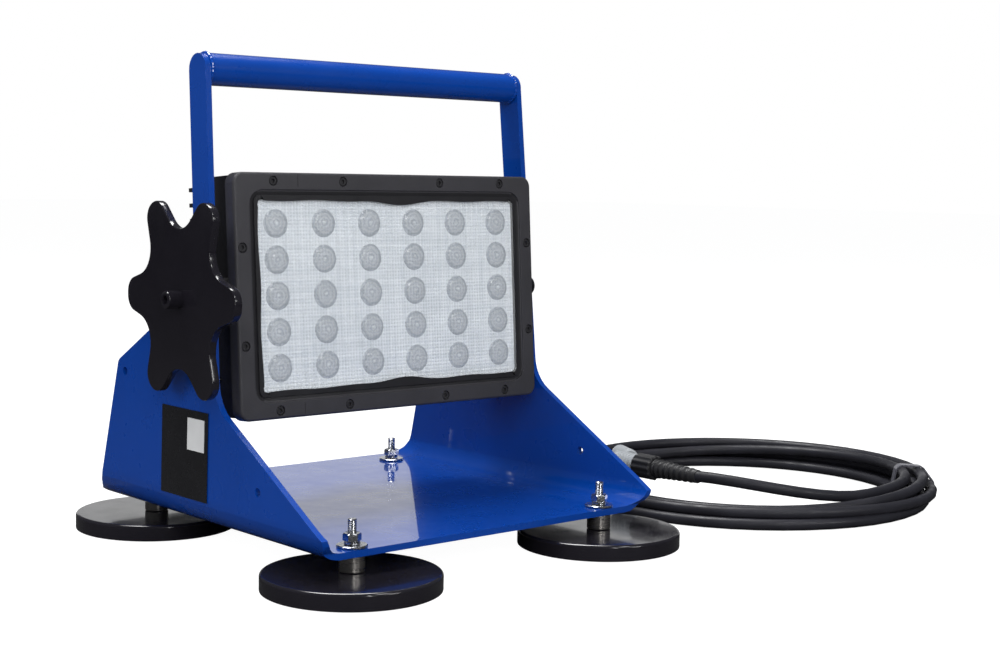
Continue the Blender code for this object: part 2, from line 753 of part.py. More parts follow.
def make_wall_fittings():
    """The blank label, the stop screw and the clip that holds the cord."""
    lean = math.atan(WALL_LEAN)
    middle_z = sum(LABEL_Z) / 2
    size = (LABEL_THICKNESS, LABEL_Y[1] - LABEL_Y[0], LABEL_Z[1] - LABEL_Z[0])
    label = box("label_plate", size, (0.0, 0.0, 0.0))
    label.location = (
        -wall_face(middle_z) - GAP - LABEL_THICKNESS / 2,
        sum(LABEL_Y) / 2,
        middle_z,
    )
    label.rotation_euler = (0.0, lean, 0.0)
    place(label, LABEL)

    face = -wall_face(STOP_SCREW[1])
    screw = turned(
        "stop_screw",
        [
            (0.0, face + 10 * MM),
            (2.1 * MM, face + 10 * MM),
            (2.1 * MM, face - 0.4 * MM),
            (4.2 * MM, face - 0.4 * MM),
            (4.2 * MM, face - 2.4 * MM),
            (2.6 * MM, face - 3.6 * MM),
            (0.0, face - 3.6 * MM),
        ],
        16,
        "X",
        closed=False,
    )
    screw.location = (0.0, *STOP_SCREW)
    place(screw, STEEL)

    make_cord_clip()


def make_cord_clip():
    """A P-clip: a band round the cord with a flat tab screwed to the right wall."""
    bore = CORD_RADIUS + 2 * GAP
    band = 1.6 * MM
    outer = bore + band
    wall = wall_face(CLIP_Z) + 2 * GAP
    low = CLIP_Z - CLIP_WIDTH / 2
    tab_end = REAR_HOLE[0] + 7 * MM
    tab_width = tab_end - CLIP_Y
    loops = [circle(outer, 24, (CLIP_X, CLIP_Y)), circle(bore, 24, (CLIP_X, CLIP_Y))]
    clip = prism("cord_clip", loops, CLIP_WIDTH, "XY", CLIP_Z)
    tab_size = (2 * band, tab_width, CLIP_WIDTH)
    tab = box("clip_tab", tab_size, (wall + band, CLIP_Y + tab_width / 2, CLIP_Z))
    boolean(clip, place(tab), "UNION")
    passage = rod("clip_passage", bore, low - 5 * MM, low + CLIP_WIDTH + 5 * MM, 24)
    passage.location = (CLIP_X, CLIP_Y, 0.0)
    boolean(clip, place(passage))
    hole = rod("clip_hole", WALL_HOLE_RADIUS, 0.14, 0.18, 16, "X")
    hole.location = (0.0, *REAR_HOLE)
    boolean(clip, place(hole))
    place(clip, BLACK_PLASTIC)

    outside = wall + 2 * band + GAP
    shank = 2.9 * MM
    screw = turned(
        "clip_screw",
        [
            (0.0, outside + 3.4 * MM),
            (3.2 * MM, outside + 3.4 * MM),
            (5.2 * MM, outside + 1.6 * MM),
            (5.2 * MM, outside),
            (shank, outside),
            (shank, wall - 16 * MM),
            (0.0, wall - 16 * MM),
        ],
        16,
        "X",
        closed=False,
    )
    screw.location = (0.0, *REAR_HOLE)
    place(screw, STEEL)
    inside = wall_face(CLIP_Z) - PLATE - 2 * GAP
    loops = [hexagon(9.5 * MM), circle(shank + GAP, 16)]
    nut = prism("clip_nut", loops, 4.4 * MM, "YZ", inside - 2.2 * MM)
    nut.location = (0.0, *REAR_HOLE)
    place(nut, STEEL)


def make_cord():
    """The lamp's lead, the cord to the floor, its coil with a tie, and the plug."""
    place(cord_tube("lamp_lead", LEAD_ROUTE), JACKET)
    place(cord_tube("cord_tail", TAIL_ROUTE), JACKET)

    edge = 8 * MM
    coil = turned(
        "cord_coil",
        [
            (COIL_OUTER - edge, COIL_TOP),
            (COIL_OUTER, COIL_TOP - edge),
            (COIL_OUTER, COIL_BOTTOM + edge),
            (COIL_OUTER - edge, COIL_BOTTOM),
            (COIL_INNER + edge, COIL_BOTTOM),
            (COIL_INNER, COIL_BOTTOM + edge),
            (COIL_INNER, COIL_TOP - edge),
            (COIL_INNER + edge, COIL_TOP),
        ],
        48,
    )
    coil.location = (*COIL_CENTRE, 0.0)
    place(coil, JACKET)

    gap = 2 * GAP
    band = 0.8 * MM
    width = COIL_OUTER - COIL_INNER + 2 * gap
    height = COIL_TOP - COIL_BOTTOM + 2 * gap
    loops = [
        rectangle(width + 2 * band, height + 2 * band, edge * 0.7),
        rectangle(width, height, edge * 0.6),
    ]
    tie = prism("coil_tie", loops, 14 * MM, "XZ")
    tie_angle = math.radians(-41)
    reach = (COIL_OUTER + COIL_INNER) / 2
    tie.location = (
        COIL_CENTRE[0] + reach * math.cos(tie_angle),
        COIL_CENTRE[1] + reach * math.sin(tie_angle),
        (COIL_TOP + COIL_BOTTOM) / 2,
    )
    tie.rotation_euler = (0.0, 0.0, tie_angle)
    place(tie, TIE)

    make_plug()


def make_plug():
    """The connector that lies on the coil: body, collar and ribbed strain relief."""
    pieces = [
        ("plug_body", GREY_PLASTIC, [(0.0, 0.0), (7.5, 0.0), (9.0, -2.0), (9.0, -27.0), (0.0, -27.0)]),
        ("plug_collar", BLACK_PLASTIC, [(0.0, -27.3), (10.5, -27.3), (10.5, -48.0), (0.0, -48.0)]),
        ("plug_relief", BLACK_PLASTIC, [(0.0, -48.3), (8.0, -48.3), (5.9, -86.0), (0.0, -86.0)]),
    ]
    for name, material, profile in pieces:
        points = [(radius * MM, height * MM) for radius, height in profile]
        piece = turned(name, points, 20, "Y", closed=False)
        piece.rotation_euler = (math.radians(-90), 0.0, 0.0)
        piece.location = (PLUG_X, -30 * MM, PLUG_Z)
        place(piece, material)
    cap = rod("plug_cap", 8 * MM, -14 * MM, 14 * MM, 20, "Y", 1.5 * MM)
    cap.rotation_euler = (math.radians(-90), 0.0, math.radians(-25))
    cap.location = (268 * MM, -8 * MM, COIL_TOP + 8.5 * MM)
    place(cap, GREY_PLASTIC)


def make_feet():
    corners = [("front_left", -1, -1), ("front_right", 1, -1)]
    corners += [("rear_left", -1, 1), ("rear_right", 1, 1)]
    for tag, side, end in corners:
        make_foot(tag, side * FOOT_X, end * FOOT_Y)


def main():
    make_bracket()
    make_handle()
    make_feet()
    make_lamp()
    make_wiring_box()
    make_pivots()
    make_knob()
    make_wall_fittings()
    make_cord()
    for obj in PARTS.objects:
        if obj.type == "MESH":
            smooth(obj.data)


main()
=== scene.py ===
"""The looks of a portable LED work light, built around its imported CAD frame."""

import math

import bmesh
import bpy
from mathutils import Matrix, Vector


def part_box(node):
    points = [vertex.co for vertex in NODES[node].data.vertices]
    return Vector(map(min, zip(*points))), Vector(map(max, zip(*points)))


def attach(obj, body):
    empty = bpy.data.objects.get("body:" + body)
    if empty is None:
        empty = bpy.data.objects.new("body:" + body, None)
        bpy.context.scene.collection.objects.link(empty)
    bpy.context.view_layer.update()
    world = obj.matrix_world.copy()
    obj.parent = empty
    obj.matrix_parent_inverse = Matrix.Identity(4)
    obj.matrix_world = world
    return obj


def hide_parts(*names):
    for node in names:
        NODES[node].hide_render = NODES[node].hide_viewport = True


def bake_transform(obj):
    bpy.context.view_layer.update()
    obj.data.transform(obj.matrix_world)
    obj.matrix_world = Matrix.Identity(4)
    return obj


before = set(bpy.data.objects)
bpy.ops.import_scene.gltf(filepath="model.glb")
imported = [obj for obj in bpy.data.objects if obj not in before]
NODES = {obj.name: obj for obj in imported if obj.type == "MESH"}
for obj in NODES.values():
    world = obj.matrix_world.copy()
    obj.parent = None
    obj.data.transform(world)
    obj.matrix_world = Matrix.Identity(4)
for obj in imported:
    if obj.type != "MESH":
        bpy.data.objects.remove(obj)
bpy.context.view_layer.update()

MM = 0.001
CORNERS = ("front_left", "front_right", "rear_left", "rear_right")
LAMP_TILT = math.radians(3.93)


def middle(node):
    low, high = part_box(node)
    return (low + high) / 2


FRAME_SHIFT = Vector((middle("bezel").x, 0.0, 0.0))  # the bracket's middle in X
PIVOT = Vector((FRAME_SHIFT.x, *middle("pivot_bolt_right").yz))
LAMP = Matrix.Translation(PIVOT) @ Matrix.Rotation(-LAMP_TILT, 4, "X")
KNOB = Matrix.Translation(PIVOT)


def local_box(node, placing):
    """Lowest and highest corners of a CAD node in a tilted frame."""
    back = placing.inverted()
    points = [back @ v.co for v in NODES[node].data.vertices]
    low = Vector([min(p[i] for p in points) for i in range(3)])
    high = Vector([max(p[i] for p in points) for i in range(3)])
    return low, high


# ---------------------------------------------------------------- camera

CAMERA_AT = Vector((-772.2, -1022.0, 277.4)) * MM + FRAME_SHIFT
CAMERA_YAW = math.radians(41.34)
CAMERA_PITCH = math.radians(5.29)
CAMERA_ROLL = math.radians(1.0)
SENSOR_WIDTH = 36.0
FOCAL_LENGTH = 60.07


def make_camera():
    ahead = Vector(
        (
            math.sin(CAMERA_YAW) * math.cos(CAMERA_PITCH),
            math.cos(CAMERA_YAW) * math.cos(CAMERA_PITCH),
            -math.sin(CAMERA_PITCH),
        )
    )
    level = Vector((math.cos(CAMERA_YAW), -math.sin(CAMERA_YAW), 0.0))
    rise = level.cross(ahead)
    right = math.cos(CAMERA_ROLL) * level + math.sin(CAMERA_ROLL) * rise
    up = math.cos(CAMERA_ROLL) * rise - math.sin(CAMERA_ROLL) * level
    data = bpy.data.cameras.new("camera")
    data.sensor_fit = "HORIZONTAL"
    data.sensor_width = SENSOR_WIDTH
    data.lens = FOCAL_LENGTH
    data.clip_end = 50.0
    camera = bpy.data.objects.new("camera", data)
    bpy.context.scene.collection.objects.link(camera)
    turn = Matrix((right, up, -ahead)).transposed().to_4x4()
    camera.matrix_world = Matrix.Translation(CAMERA_AT) @ turn
    bpy.context.scene.camera = camera


# ------------------------------------------------------------- materials


class Shader:
    """A Principled material with short calls for its procedural detail."""

    def __init__(self, name, colour, roughness, metallic=0.0):
        self.material = bpy.data.materials.new(name)
        self.material.use_nodes = True
        self.tree = self.material.node_tree
        self.principled = self.tree.nodes["Principled BSDF"]
        self.coordinates = self.add("ShaderNodeTexCoord").outputs["Object"]
        self.height = None
        self.colour = colour
        self.set("Base Color", (*colour, 1.0))
        self.set("Roughness", roughness)
        self.set("Metallic", metallic)

    def add(self, kind, **settings):
        node = self.tree.nodes.new(kind)
        for key, value in settings.items():
            setattr(node, key, value)
        return node

    def set(self, socket, value):
        self.principled.inputs[socket].default_value = value

    def link(self, source, target):
        self.tree.links.new(source, target)

    def noise(self, scale, detail=2.0, stretch=None):
        texture = self.add("ShaderNodeTexNoise")
        texture.inputs["Scale"].default_value = scale
        texture.inputs["Detail"].default_value = detail
        source = self.coordinates
        if stretch:
            mapping = self.add("ShaderNodeMapping")
            mapping.inputs["Scale"].default_value = stretch
            self.link(source, mapping.inputs["Vector"])
            source = mapping.outputs["Vector"]
        self.link(source, texture.inputs["Vector"])
        return texture.outputs["Fac"]

    def spread(self, value, low, high, start=0.3, end=0.7):
        """A value from start to end, stretched to run from low to high."""
        node = self.add("ShaderNodeMapRange")
        node.inputs["From Min"].default_value = start
        node.inputs["From Max"].default_value = end
        node.inputs["To Min"].default_value = low
        node.inputs["To Max"].default_value = high
        self.link(value, node.inputs["Value"])
        return node.outputs["Result"]

    def math(self, operation, first, second=None):
        node = self.add("ShaderNodeMath", operation=operation)
        for socket, value in zip(node.inputs, (first, second)):
            if value is None:
                continue
            if isinstance(value, (int, float)):
                socket.default_value = value
            else:
                self.link(value, socket)
        return node.outputs["Value"]

    def blend_to(self, other, value):
        """Colour that goes from the base colour to another as a value goes from 0 to 1."""
        mix = self.add("ShaderNodeMix", data_type="RGBA")
        mix.inputs["A"].default_value = (*self.colour, 1.0)
        mix.inputs["B"].default_value = (*other, 1.0)
        self.link(value, mix.inputs["Factor"])
        self.link(mix.outputs["Result"], self.principled.inputs["Base Color"])

    def mottle(self, scale, amount):
        """Colour that drifts between the base colour and a darker one."""
        darker = [c * (1.0 - amount) for c in self.colour]
        self.blend_to(darker, self.spread(self.noise(scale, 3.0), 0.0, 1.0))

    def uneven_gloss(self, scale, low, high, stretch=None):
        gloss = self.spread(self.noise(scale, 3.0, stretch), low, high)
        self.link(gloss, self.principled.inputs["Roughness"])

    def bump(self, height, distance, strength=1.0):
        node = self.add("ShaderNodeBump")
        node.inputs["Strength"].default_value = strength
        node.inputs["Distance"].default_value = distance
        self.link(height, node.inputs["Height"])
        if self.height:
            self.link(self.height, node.inputs["Normal"])
        self.height = node.outputs["Normal"]
        self.link(self.height, self.principled.inputs["Normal"])

    def coat(self, weight, roughness):
        self.set("Coat Weight", weight)
        self.set("Coat Roughness", roughness)
        return self


def blue_powder_coat():
    s = Shader("blue_powder_coat", (0.0008, 0.048, 0.32), 0.3)
    s.mottle(9.0, 0.10)
    s.uneven_gloss(45.0, 0.24, 0.36)
    s.bump(s.noise(160.0, 2.0), 0.00003, 0.12)
    s.set("Specular IOR Level", 0.2)
    return s.coat(1.0, 0.02).material


def black_cast(name, shade, low, high, grain):
    s = Shader(name, (shade, shade * 0.98, shade * 1.12), (low + high) / 2, 0.1)
    s.mottle(30.0, 0.18)
    s.uneven_gloss(120.0, low, high)
    s.bump(s.noise(grain, 3.0), 0.00018, 0.35)
    return s.material


def gloss_black():
    s = Shader("gloss_black_enamel", (0.011, 0.010, 0.014), 0.14)
    s.mottle(20.0, 0.2)
    s.uneven_gloss(60.0, 0.10, 0.2)
    s.bump(s.noise(260.0, 2.0), 0.0001, 0.12)
    return s.coat(0.3, 0.04).material


def zinc_steel():
    s = Shader("zinc_plated_steel", (0.66, 0.67, 0.70), 0.2, 1.0)
    s.mottle(80.0, 0.22)
    s.uneven_gloss(300.0, 0.14, 0.32)
    s.bump(s.noise(900.0, 3.0), 0.00005, 0.3)
    return s.material


def turned_steel():
    s = Shader("turned_steel", (0.55, 0.52, 0.49), 0.3, 1.0)
    s.mottle(40.0, 0.3)
    s.uneven_gloss(60.0, 0.22, 0.4, (1.0, 1.0, 30.0))
    s.bump(s.noise(60.0, 2.0, (1.0, 1.0, 45.0)), 0.00006, 0.4)
    return s.material


def moulded(name, colour, low, high, grain=700.0):
    s = Shader(name, colour, (low + high) / 2)
    s.mottle(25.0, 0.15)
    s.uneven_gloss(90.0, low, high)
    s.bump(s.noise(grain, 3.0), 0.0001, 0.35)
    return s.material


def cord_jacket():
    s = Shader("cord_jacket", (0.020, 0.020, 0.026), 0.42)
    s.mottle(35.0, 0.35)
    s.uneven_gloss(70.0, 0.32, 0.55)
    s.bump(s.noise(650.0, 3.0), 0.00012, 0.45)
    s.set("Specular IOR Level", 0.3)
    return s.material


PRISM_PITCH = 2.6 * MM


def grid_height(s, period):
    """Ridges along both directions of the lens face, crossing each other, from -2 to 2."""
    split = s.add("ShaderNodeSeparateXYZ")
    s.link(s.coordinates, split.inputs["Vector"])
    waves = []
    for axis in ("X", "Z"):
        turned = s.math("MULTIPLY", split.outputs[axis], math.tau / period)
        waves.append(s.math("SINE", turned))
    return s.math("ADD", waves[0], waves[1])


def plaid(s):
    """Fine crossing threads, some fainter than others, as a value from 0 to 1."""
    threads = s.spread(grid_height(s, PRISM_PITCH), 0.0, 1.0, -2.0, 2.0)
    upright = s.spread(s.noise(1.0, 2.0, (260.0, 1.0, 9.0)), 0.0, 1.0, 0.35, 0.65)
    level = s.spread(s.noise(1.0, 2.0, (9.0, 1.0, 260.0)), 0.0, 1.0, 0.35, 0.65)
    bands = s.math("ADD", upright, level)
    return s.math("ADD", s.math("MULTIPLY", threads, 0.3), s.math("MULTIPLY", bands, 0.35))


def prism_sheet():
    s = Shader("prismatic_sheet", (0.86, 0.90, 0.94), 0.3)
    s.blend_to((0.52, 0.57, 0.63), plaid(s))
    s.bump(grid_height(s, PRISM_PITCH), 0.00025, 0.6)
    return s.coat(0.4, 0.1).material


def led_optic():
    """Grey domes, with painted shade that makes them darker towards their rims and in the troughs
    between their ridges, and painted highlights as pale rings on the ridges.
    """
    s = Shader("led_optic", (0.50, 0.54, 0.58), 0.22)
    reach = s.add("ShaderNodeAttribute", attribute_name="reach").outputs["Fac"]
    wander = s.spread(s.noise(260.0, 3.0), -0.12, 0.12)
    ramp = s.add("ShaderNodeValToRGB")
    # Painted light: the pale stops at 0, 0.34, 0.66 and 1.0 of the radius sit on the ridge crests
    # as painted highlights; the dark stops in the troughs and near the rim are painted shade.
    painted_light_stops = [
        (0.0, (0.62, 0.66, 0.71)),
        (0.22, (0.30, 0.33, 0.37)),
        (0.34, (0.47, 0.51, 0.56)),
        (0.55, (0.34, 0.37, 0.41)),
        (0.66, (0.45, 0.49, 0.53)),
        (0.88, (0.24, 0.27, 0.31)),
        (1.0, (0.42, 0.46, 0.51)),
    ]
    while len(ramp.color_ramp.elements) < len(painted_light_stops):
        ramp.color_ramp.elements.new(0.5)
    for element, (place, colour) in zip(ramp.color_ramp.elements, painted_light_stops):
        element.position = place
        element.color = (*colour, 1.0)
    s.link(s.math("ADD", reach, wander), ramp.inputs["Fac"])
    s.link(ramp.outputs["Color"], s.principled.inputs["Base Color"])
    s.bump(grid_height(s, PRISM_PITCH), 0.0002, 0.5)
    return s.coat(0.5, 0.08).material


def clear_lens():
    s = Shader("clear_lens", (0.92, 0.95, 0.97), 0.06)
    s.uneven_gloss(50.0, 0.03, 0.1)
    s.bump(grid_height(s, 1.3 * MM), 0.00005, 0.15)
    s.set("Alpha", 0.10)
    s.set("IOR", 1.5)
    return s.material


def label_film():
    s = Shader("label_film", (0.012, 0.012, 0.014), 0.25)
    s.mottle(50.0, 0.2)
    s.uneven_gloss(80.0, 0.2, 0.32)
    s.bump(s.noise(500.0, 2.0), 0.00005, 0.2)
    return s.material


MATERIALS = {
    "blue": blue_powder_coat(),
    "bezel": black_cast("bezel_black", 0.046, 0.34, 0.5, 900.0),
    "housing": black_cast("housing_black", 0.022, 0.4, 0.6, 700.0),
    "gloss": gloss_black(),
    "zinc": zinc_steel(),
    "turned": turned_steel(),
    "cord": cord_jacket(),
    "black": moulded("black_plastic", (0.018, 0.018, 0.020), 0.35, 0.55),
    "grey": moulded("grey_plastic", (0.33, 0.35, 0.37), 0.35, 0.5),
    "rubber": moulded("black_rubber", (0.016, 0.016, 0.017), 0.55, 0.8),
    "ferrite": moulded("ferrite", (0.05, 0.05, 0.055), 0.5, 0.8, 300.0),
    "board": moulded("board_white", (0.7, 0.71, 0.69), 0.35, 0.5),
    # A darker copy of the bezel's cast black: painted shade on the bezel's recessed lip, and the
    # lens seal's own black.
    "lip": black_cast("lip_painted_shade_and_seal_black", 0.020, 0.3, 0.45, 900.0),
    "tie": moulded("tie_film", (0.10, 0.10, 0.12), 0.2, 0.35),
    "blank": moulded("label_blank", (0.72, 0.73, 0.74), 0.3, 0.45),
    "sheet": prism_sheet(),
    "optic": led_optic(),
    "lens": clear_lens(),
    "label": label_film(),
}


# ----------------------------------------------------------- mesh helpers


def smoothing_group():
    """Geometry nodes that shade smooth, but for edges sharper than 35 degrees."""
    group = bpy.data.node_groups.new("smooth_by_angle", "GeometryNodeTree")
    group.interface.new_socket("Geometry", in_out="INPUT", socket_type="NodeSocketGeometry")
    group.interface.new_socket("Geometry", in_out="OUTPUT", socket_type="NodeSocketGeometry")
    start = group.nodes.new("NodeGroupInput")
    end = group.nodes.new("NodeGroupOutput")
    angle = group.nodes.new("GeometryNodeInputMeshEdgeAngle")
    compare = group.nodes.new("FunctionNodeCompare")
    compare.operation = "LESS_THAN"
    compare.inputs["B"].default_value = math.radians(35)
    faces = group.nodes.new("GeometryNodeSetShadeSmooth")
    edges = group.nodes.new("GeometryNodeSetShadeSmooth")
    edges.domain = "EDGE"
    link = group.links.new
    link(start.outputs[0], faces.inputs["Geometry"])
    link(faces.outputs[0], edges.inputs["Geometry"])
    link(angle.outputs["Unsigned Angle"], compare.inputs["A"])
    link(compare.outputs[0], edges.inputs["Shade Smooth"])
    link(edges.outputs[0], end.inputs[0])
    return group


SMOOTHING = smoothing_group()


def add_modifiers(obj, bevel=0.0, weld=False):
    if weld:
        joined = obj.modifiers.new("weld", "WELD")
        joined.merge_threshold = 1e-6
    if bevel:
        rounding = obj.modifiers.new("rounded_edges", "BEVEL")
        rounding.width = bevel
        rounding.segments = 2
        rounding.limit_method = "ANGLE"
        rounding.angle_limit = math.radians(40)
    shading = obj.modifiers.new("smooth_by_angle", "NODES")
    shading.node_group = SMOOTHING
    flatness = obj.modifiers.new("flat_faces_stay_flat", "WEIGHTED_NORMAL")
    flatness.weight = 100
    flatness.keep_sharp = True
    return obj


def dress(node, material, bevel=0.0):
    """Gives a CAD node its material, and rounds its edges a little."""
    obj = NODES[node]
    obj.data.materials.clear()
    obj.data.materials.append(MATERIALS[material])
    add_modifiers(obj, bevel, weld=True)


def from_bmesh(name, shape, placing=None):
    bmesh.ops.recalc_face_normals(shape, faces=shape.faces)
    mesh = bpy.data.meshes.new(name)
    shape.to_mesh(mesh)
    shape.free()
    obj = bpy.data.objects.new(name, mesh)
    bpy.context.scene.collection.objects.link(obj)
    if placing is not None:
        mesh.transform(placing)
    return obj


def finish_piece(obj, material, body, replaces=(), bevel=0.0):
    obj.data.materials.append(MATERIALS[material])
    add_modifiers(obj, bevel)
    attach(obj, body)
    if replaces:
        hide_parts(*replaces)
    return obj


def add_loops(shape, loops, close_around=False):
    """Skins loops of points that hold the same number; the ends are capped."""
    rows = [[shape.verts.new(point) for point in loop] for loop in loops]
    pairs = list(zip(rows, rows[1:]))
    if close_around:
        pairs.append((rows[-1], rows[0]))
    for lower, upper in pairs:
        for i in range(len(lower)):
            j = (i + 1) % len(lower)
            shape.faces.new((lower[i], lower[j], upper[j], upper[i]))
    if not close_around:
        shape.faces.new(rows[0])
        shape.faces.new(rows[-1])
    return rows


def lathe(shape, profile, steps=64, axis="Z", centre=(0.0, 0.0, 0.0), ring=False):
    """Turns (radius, height) points in mm about an axis; a ring profile is a loop."""
    loops = []
    for radius, height in profile:
        loop = []
        for i in range(steps):
            angle = math.tau * i / steps
            across = radius * MM * math.cos(angle)
            up = radius * MM * math.sin(angle)
            along = height * MM
            point = {
                "X": (along, across, up),
                "Y": (up, along, across),
                "Z": (across, up, along),
            }[axis]
            loop.append(Vector(point) + Vector(centre))
        loops.append(loop)
    return add_loops(shape, loops, ring)


def turned(name, profile, steps, axis, centre, ring=False):
    shape = bmesh.new()
    lathe(shape, profile, steps, axis, centre, ring)
    return from_bmesh(name, shape)


def rounded_rectangle(width, height, radius, depth, steps=8):
    """A loop in the lamp's XZ plane at a depth along Y, all in metres."""
    points = []
    corners = [(1, 1, 0), (-1, 1, 90), (-1, -1, 180), (1, -1, 270)]
    for side, end, start in corners:
        for i in range(steps + 1):
            angle = math.radians(start + 90 * i / steps)
            x = side * (width / 2 - radius) + radius * math.cos(angle)
            z = end * (height / 2 - radius) + radius * math.sin(angle)
            points.append((x, depth, z))
    return points


def cut_away(obj, shape):
    """Cuts one closed shape out of a piece and applies the cut."""
    cutter = from_bmesh("cutter", shape)
    cut = obj.modifiers.new("cut", "BOOLEAN")
    cut.object = cutter
    cut.solver = "EXACT"
    graph = bpy.context.evaluated_depsgraph_get()
    graph.update()
    mesh = bpy.data.meshes.new_from_object(obj.evaluated_get(graph))
    obj.modifiers.clear()
    old = obj.data
    obj.data = mesh
    bpy.data.meshes.remove(old)
    bpy.data.objects.remove(cutter)


# ------------------------------------------------------------------ cords

CORD_DIAMETER = 9.3 * MM
CORD_RADIUS = CORD_DIAMETER / 2
COIL_CENTRE = Vector((365.0, -57.0, 0.0)) * MM
LEAD_ROUTE = [
    (74.6, 62.7, 182.6),
    (91.0, 64.5, 182.6),
    (107.0, 70.0, 182.1),
    (122.0, 78.5, 180.4),
    (136.0, 88.0, 176.0),
    (148.0, 95.0, 168.0),
    (156.5, 97.3, 157.5),
    (160.9, 98.0, 146.0),
    (161.5, 98.0, 138.0),
    (161.5, 98.0, 132.0),
    (161.5, 98.0, 126.6),
]
TAIL_ROUTE = [
    (161.5, 98.0, 126.2),
    (161.5, 98.0, 119.0),
    (161.5, 98.0, 111.0),
    (161.9, 98.0, 94.0),
    (163.5, 97.8, 74.0),
    (167.5, 97.0, 54.0),
    (175.5, 95.5, 34.0),
    (189.0, 92.5, 18.0),
    (206.0, 89.0, 9.6),
    (224.0, 86.0, 6.2),
    (243.0, 84.5, 5.2),
    (264.0, 85.5, 5.0),
    (283.0, 89.2, 5.0),
    (300.0, 95.0, 5.0),
]
# Radius and height of each turn, in mm, at the coil's rear, right end and front
COIL_TURNS = [
    ((158.0, 4.9), (161.0, 4.8), (160.0, 4.8)),
    ((148.5, 4.9), (151.5, 4.8), (150.5, 4.8)),
    ((139.0, 4.9), (142.0, 4.9), (141.0, 4.9)),
    ((153.5, 13.1), (168.0, 11.5), (155.0, 13.0)),
    ((144.0, 13.1), (154.0, 13.6), (128.0, 4.9)),
    ((149.5, 21.3), (160.0, 21.8), (146.0, 13.1)),
    ((134.0, 13.0), (145.0, 22.5), (136.0, 22.0)),
]
STATIONS = (0.0, 154.0, 244.0)  # degrees from the start of a turn to those three places
COIL_START = 113.2  # degrees about the coil's centre, where the tail meets it
COIL_END = 203.5  # where the cord enters the plug's strain relief
PLUG_END = (134.6, 36.8)  # radius and height of that point, in mm
LAST_DIP = (205.0, 139.0, 20.5)  # degrees, radius and height where the last turn rests
TAIL_END = (165.3, 5.0)  # radius and height where the tail meets the coil
POINTS_A_TURN = 48
TIE_WIDTH = 9 * MM


def smooth_route(points, spacing):
    """Points at even steps on a Catmull-Rom curve through a route."""
    route = [2 * points[0] - points[1], *points, 2 * points[-1] - points[-2]]
    dense = []
    for p0, p1, p2, p3 in zip(route, route[1:], route[2:], route[3:]):
        for i in range(24):
            t = i / 24
            linear = (p2 - p0) * t
            square = (2 * p0 - 5 * p1 + 4 * p2 - p3) * t**2
            cube = (3 * p1 - p0 - 3 * p2 + p3) * t**3
            dense.append(0.5 * (2 * p1 + linear + square + cube))
    dense.append(points[-1])
    kept = [dense[0]]
    walked = 0.0
    for before, point in zip(dense, dense[1:]):
        walked += (point - before).length
        if walked >= spacing:
            kept.append(point)
            walked = 0.0
    if (kept[-1] - dense[-1]).length > spacing * 0.3:
        kept.append(dense[-1])
    else:
        kept[-1] = dense[-1]
    return kept


def ease(t):
    t = max(0.0, min(1.0, t))
    return t * t * (3 - 2 * t)


def coil_stations():
    """(degrees travelled, radius, height) wherever a turn passes a station."""
    passed = []
    for turn, places in enumerate(COIL_TURNS):
        for degrees, place in zip(STATIONS, places):
            passed.append((360.0 * turn + degrees, *place))
    last_turn = len(COIL_TURNS) - 1
    sweep = 360.0 * last_turn + (COIL_START - COIL_END) % 360.0
    passed[0] = (0.0, *TAIL_END)
    kept = [station for station in passed if station[0] < sweep - 60.0]
    dip, radius, height = LAST_DIP
    return [*kept, (360.0 * last_turn + dip, radius, height), (sweep, *PLUG_END)]


def between(stations, travelled):
    """Radius and height at a place between two stations, eased at both ends."""
    for before, after in zip(stations, stations[1:]):
        if travelled <= after[0]:
            part = ease((travelled - before[0]) / (after[0] - before[0]))
            return [b + (a - b) * part for b, a in zip(before[1:], after[1:])]
    return stations[-1][1:]


def coil_points():
    """The coil's turns, wound clockwise and pulled together at its right end."""
    stations = coil_stations()
    sweep = stations[-1][0]
    count = round(sweep / 360.0 * POINTS_A_TURN)
    points = []
    for i in range(1, count + 1):
        travelled = sweep * i / count
        radius, height = between(stations, travelled)
        angle = math.radians(COIL_START - travelled)
        out = Vector((math.cos(angle), math.sin(angle), 0.0)) * radius * MM
        points.append(COIL_CENTRE + out + Vector((0.0, 0.0, height * MM)) + FRAME_SHIFT)
    return points


def in_frame(route):
    return [Vector(point) * MM + FRAME_SHIFT for point in route]


def tube_curve(name, points, radius):
    curve = bpy.data.curves.new(name, "CURVE")
    curve.dimensions = "3D"
    curve.bevel_depth = radius
    curve.bevel_resolution = 5
    curve.use_fill_caps = True
    spline = curve.splines.new("POLY")
    spline.points.add(len(points) - 1)
    for point, place in zip(spline.points, points):
        point.co = (*place, 1.0)
    spline.use_smooth = True
    obj = bpy.data.objects.new(name, curve)
    bpy.context.scene.collection.objects.link(obj)
    return obj


def tube_mesh(name, points, radius, steps=20):
    """A closed tube mesh along points, without twist."""
    shape = bmesh.new()
    loops = []
    side = None
    for i, point in enumerate(points):
        before = points[max(i - 1, 0)]
        after = points[min(i + 1, len(points) - 1)]
        ahead = (after - before).normalized()
        if side is None:
            side = ahead.orthogonal().normalized()
        side = (side - ahead * side.dot(ahead)).normalized()
        other = ahead.cross(side)
        turns = [math.tau * k / steps for k in range(steps)]
        loops.append([point + (side * math.cos(a) + other * math.sin(a)) * radius for a in turns])
    add_loops(shape, loops)
    return from_bmesh(name, shape)


def make_cord():
    tail = smooth_route(in_frame(TAIL_ROUTE), 7 * MM)
    points = tail + coil_points()
    cord = tube_curve("power_cord", points, CORD_RADIUS)
    cord.data.materials.append(MATERIALS["cord"])
    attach(cord, "bracket")
    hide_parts("cord_tail", "cord_coil")
    return cord, points


def make_lead():
    points = smooth_route(in_frame(LEAD_ROUTE), 4 * MM)
    lead = tube_mesh("lead_flex", points, CORD_RADIUS)
    lead.data.materials.append(MATERIALS["cord"])
    add_modifiers(lead)
    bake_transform(lead)
    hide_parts("lamp_lead")
    return lead, points


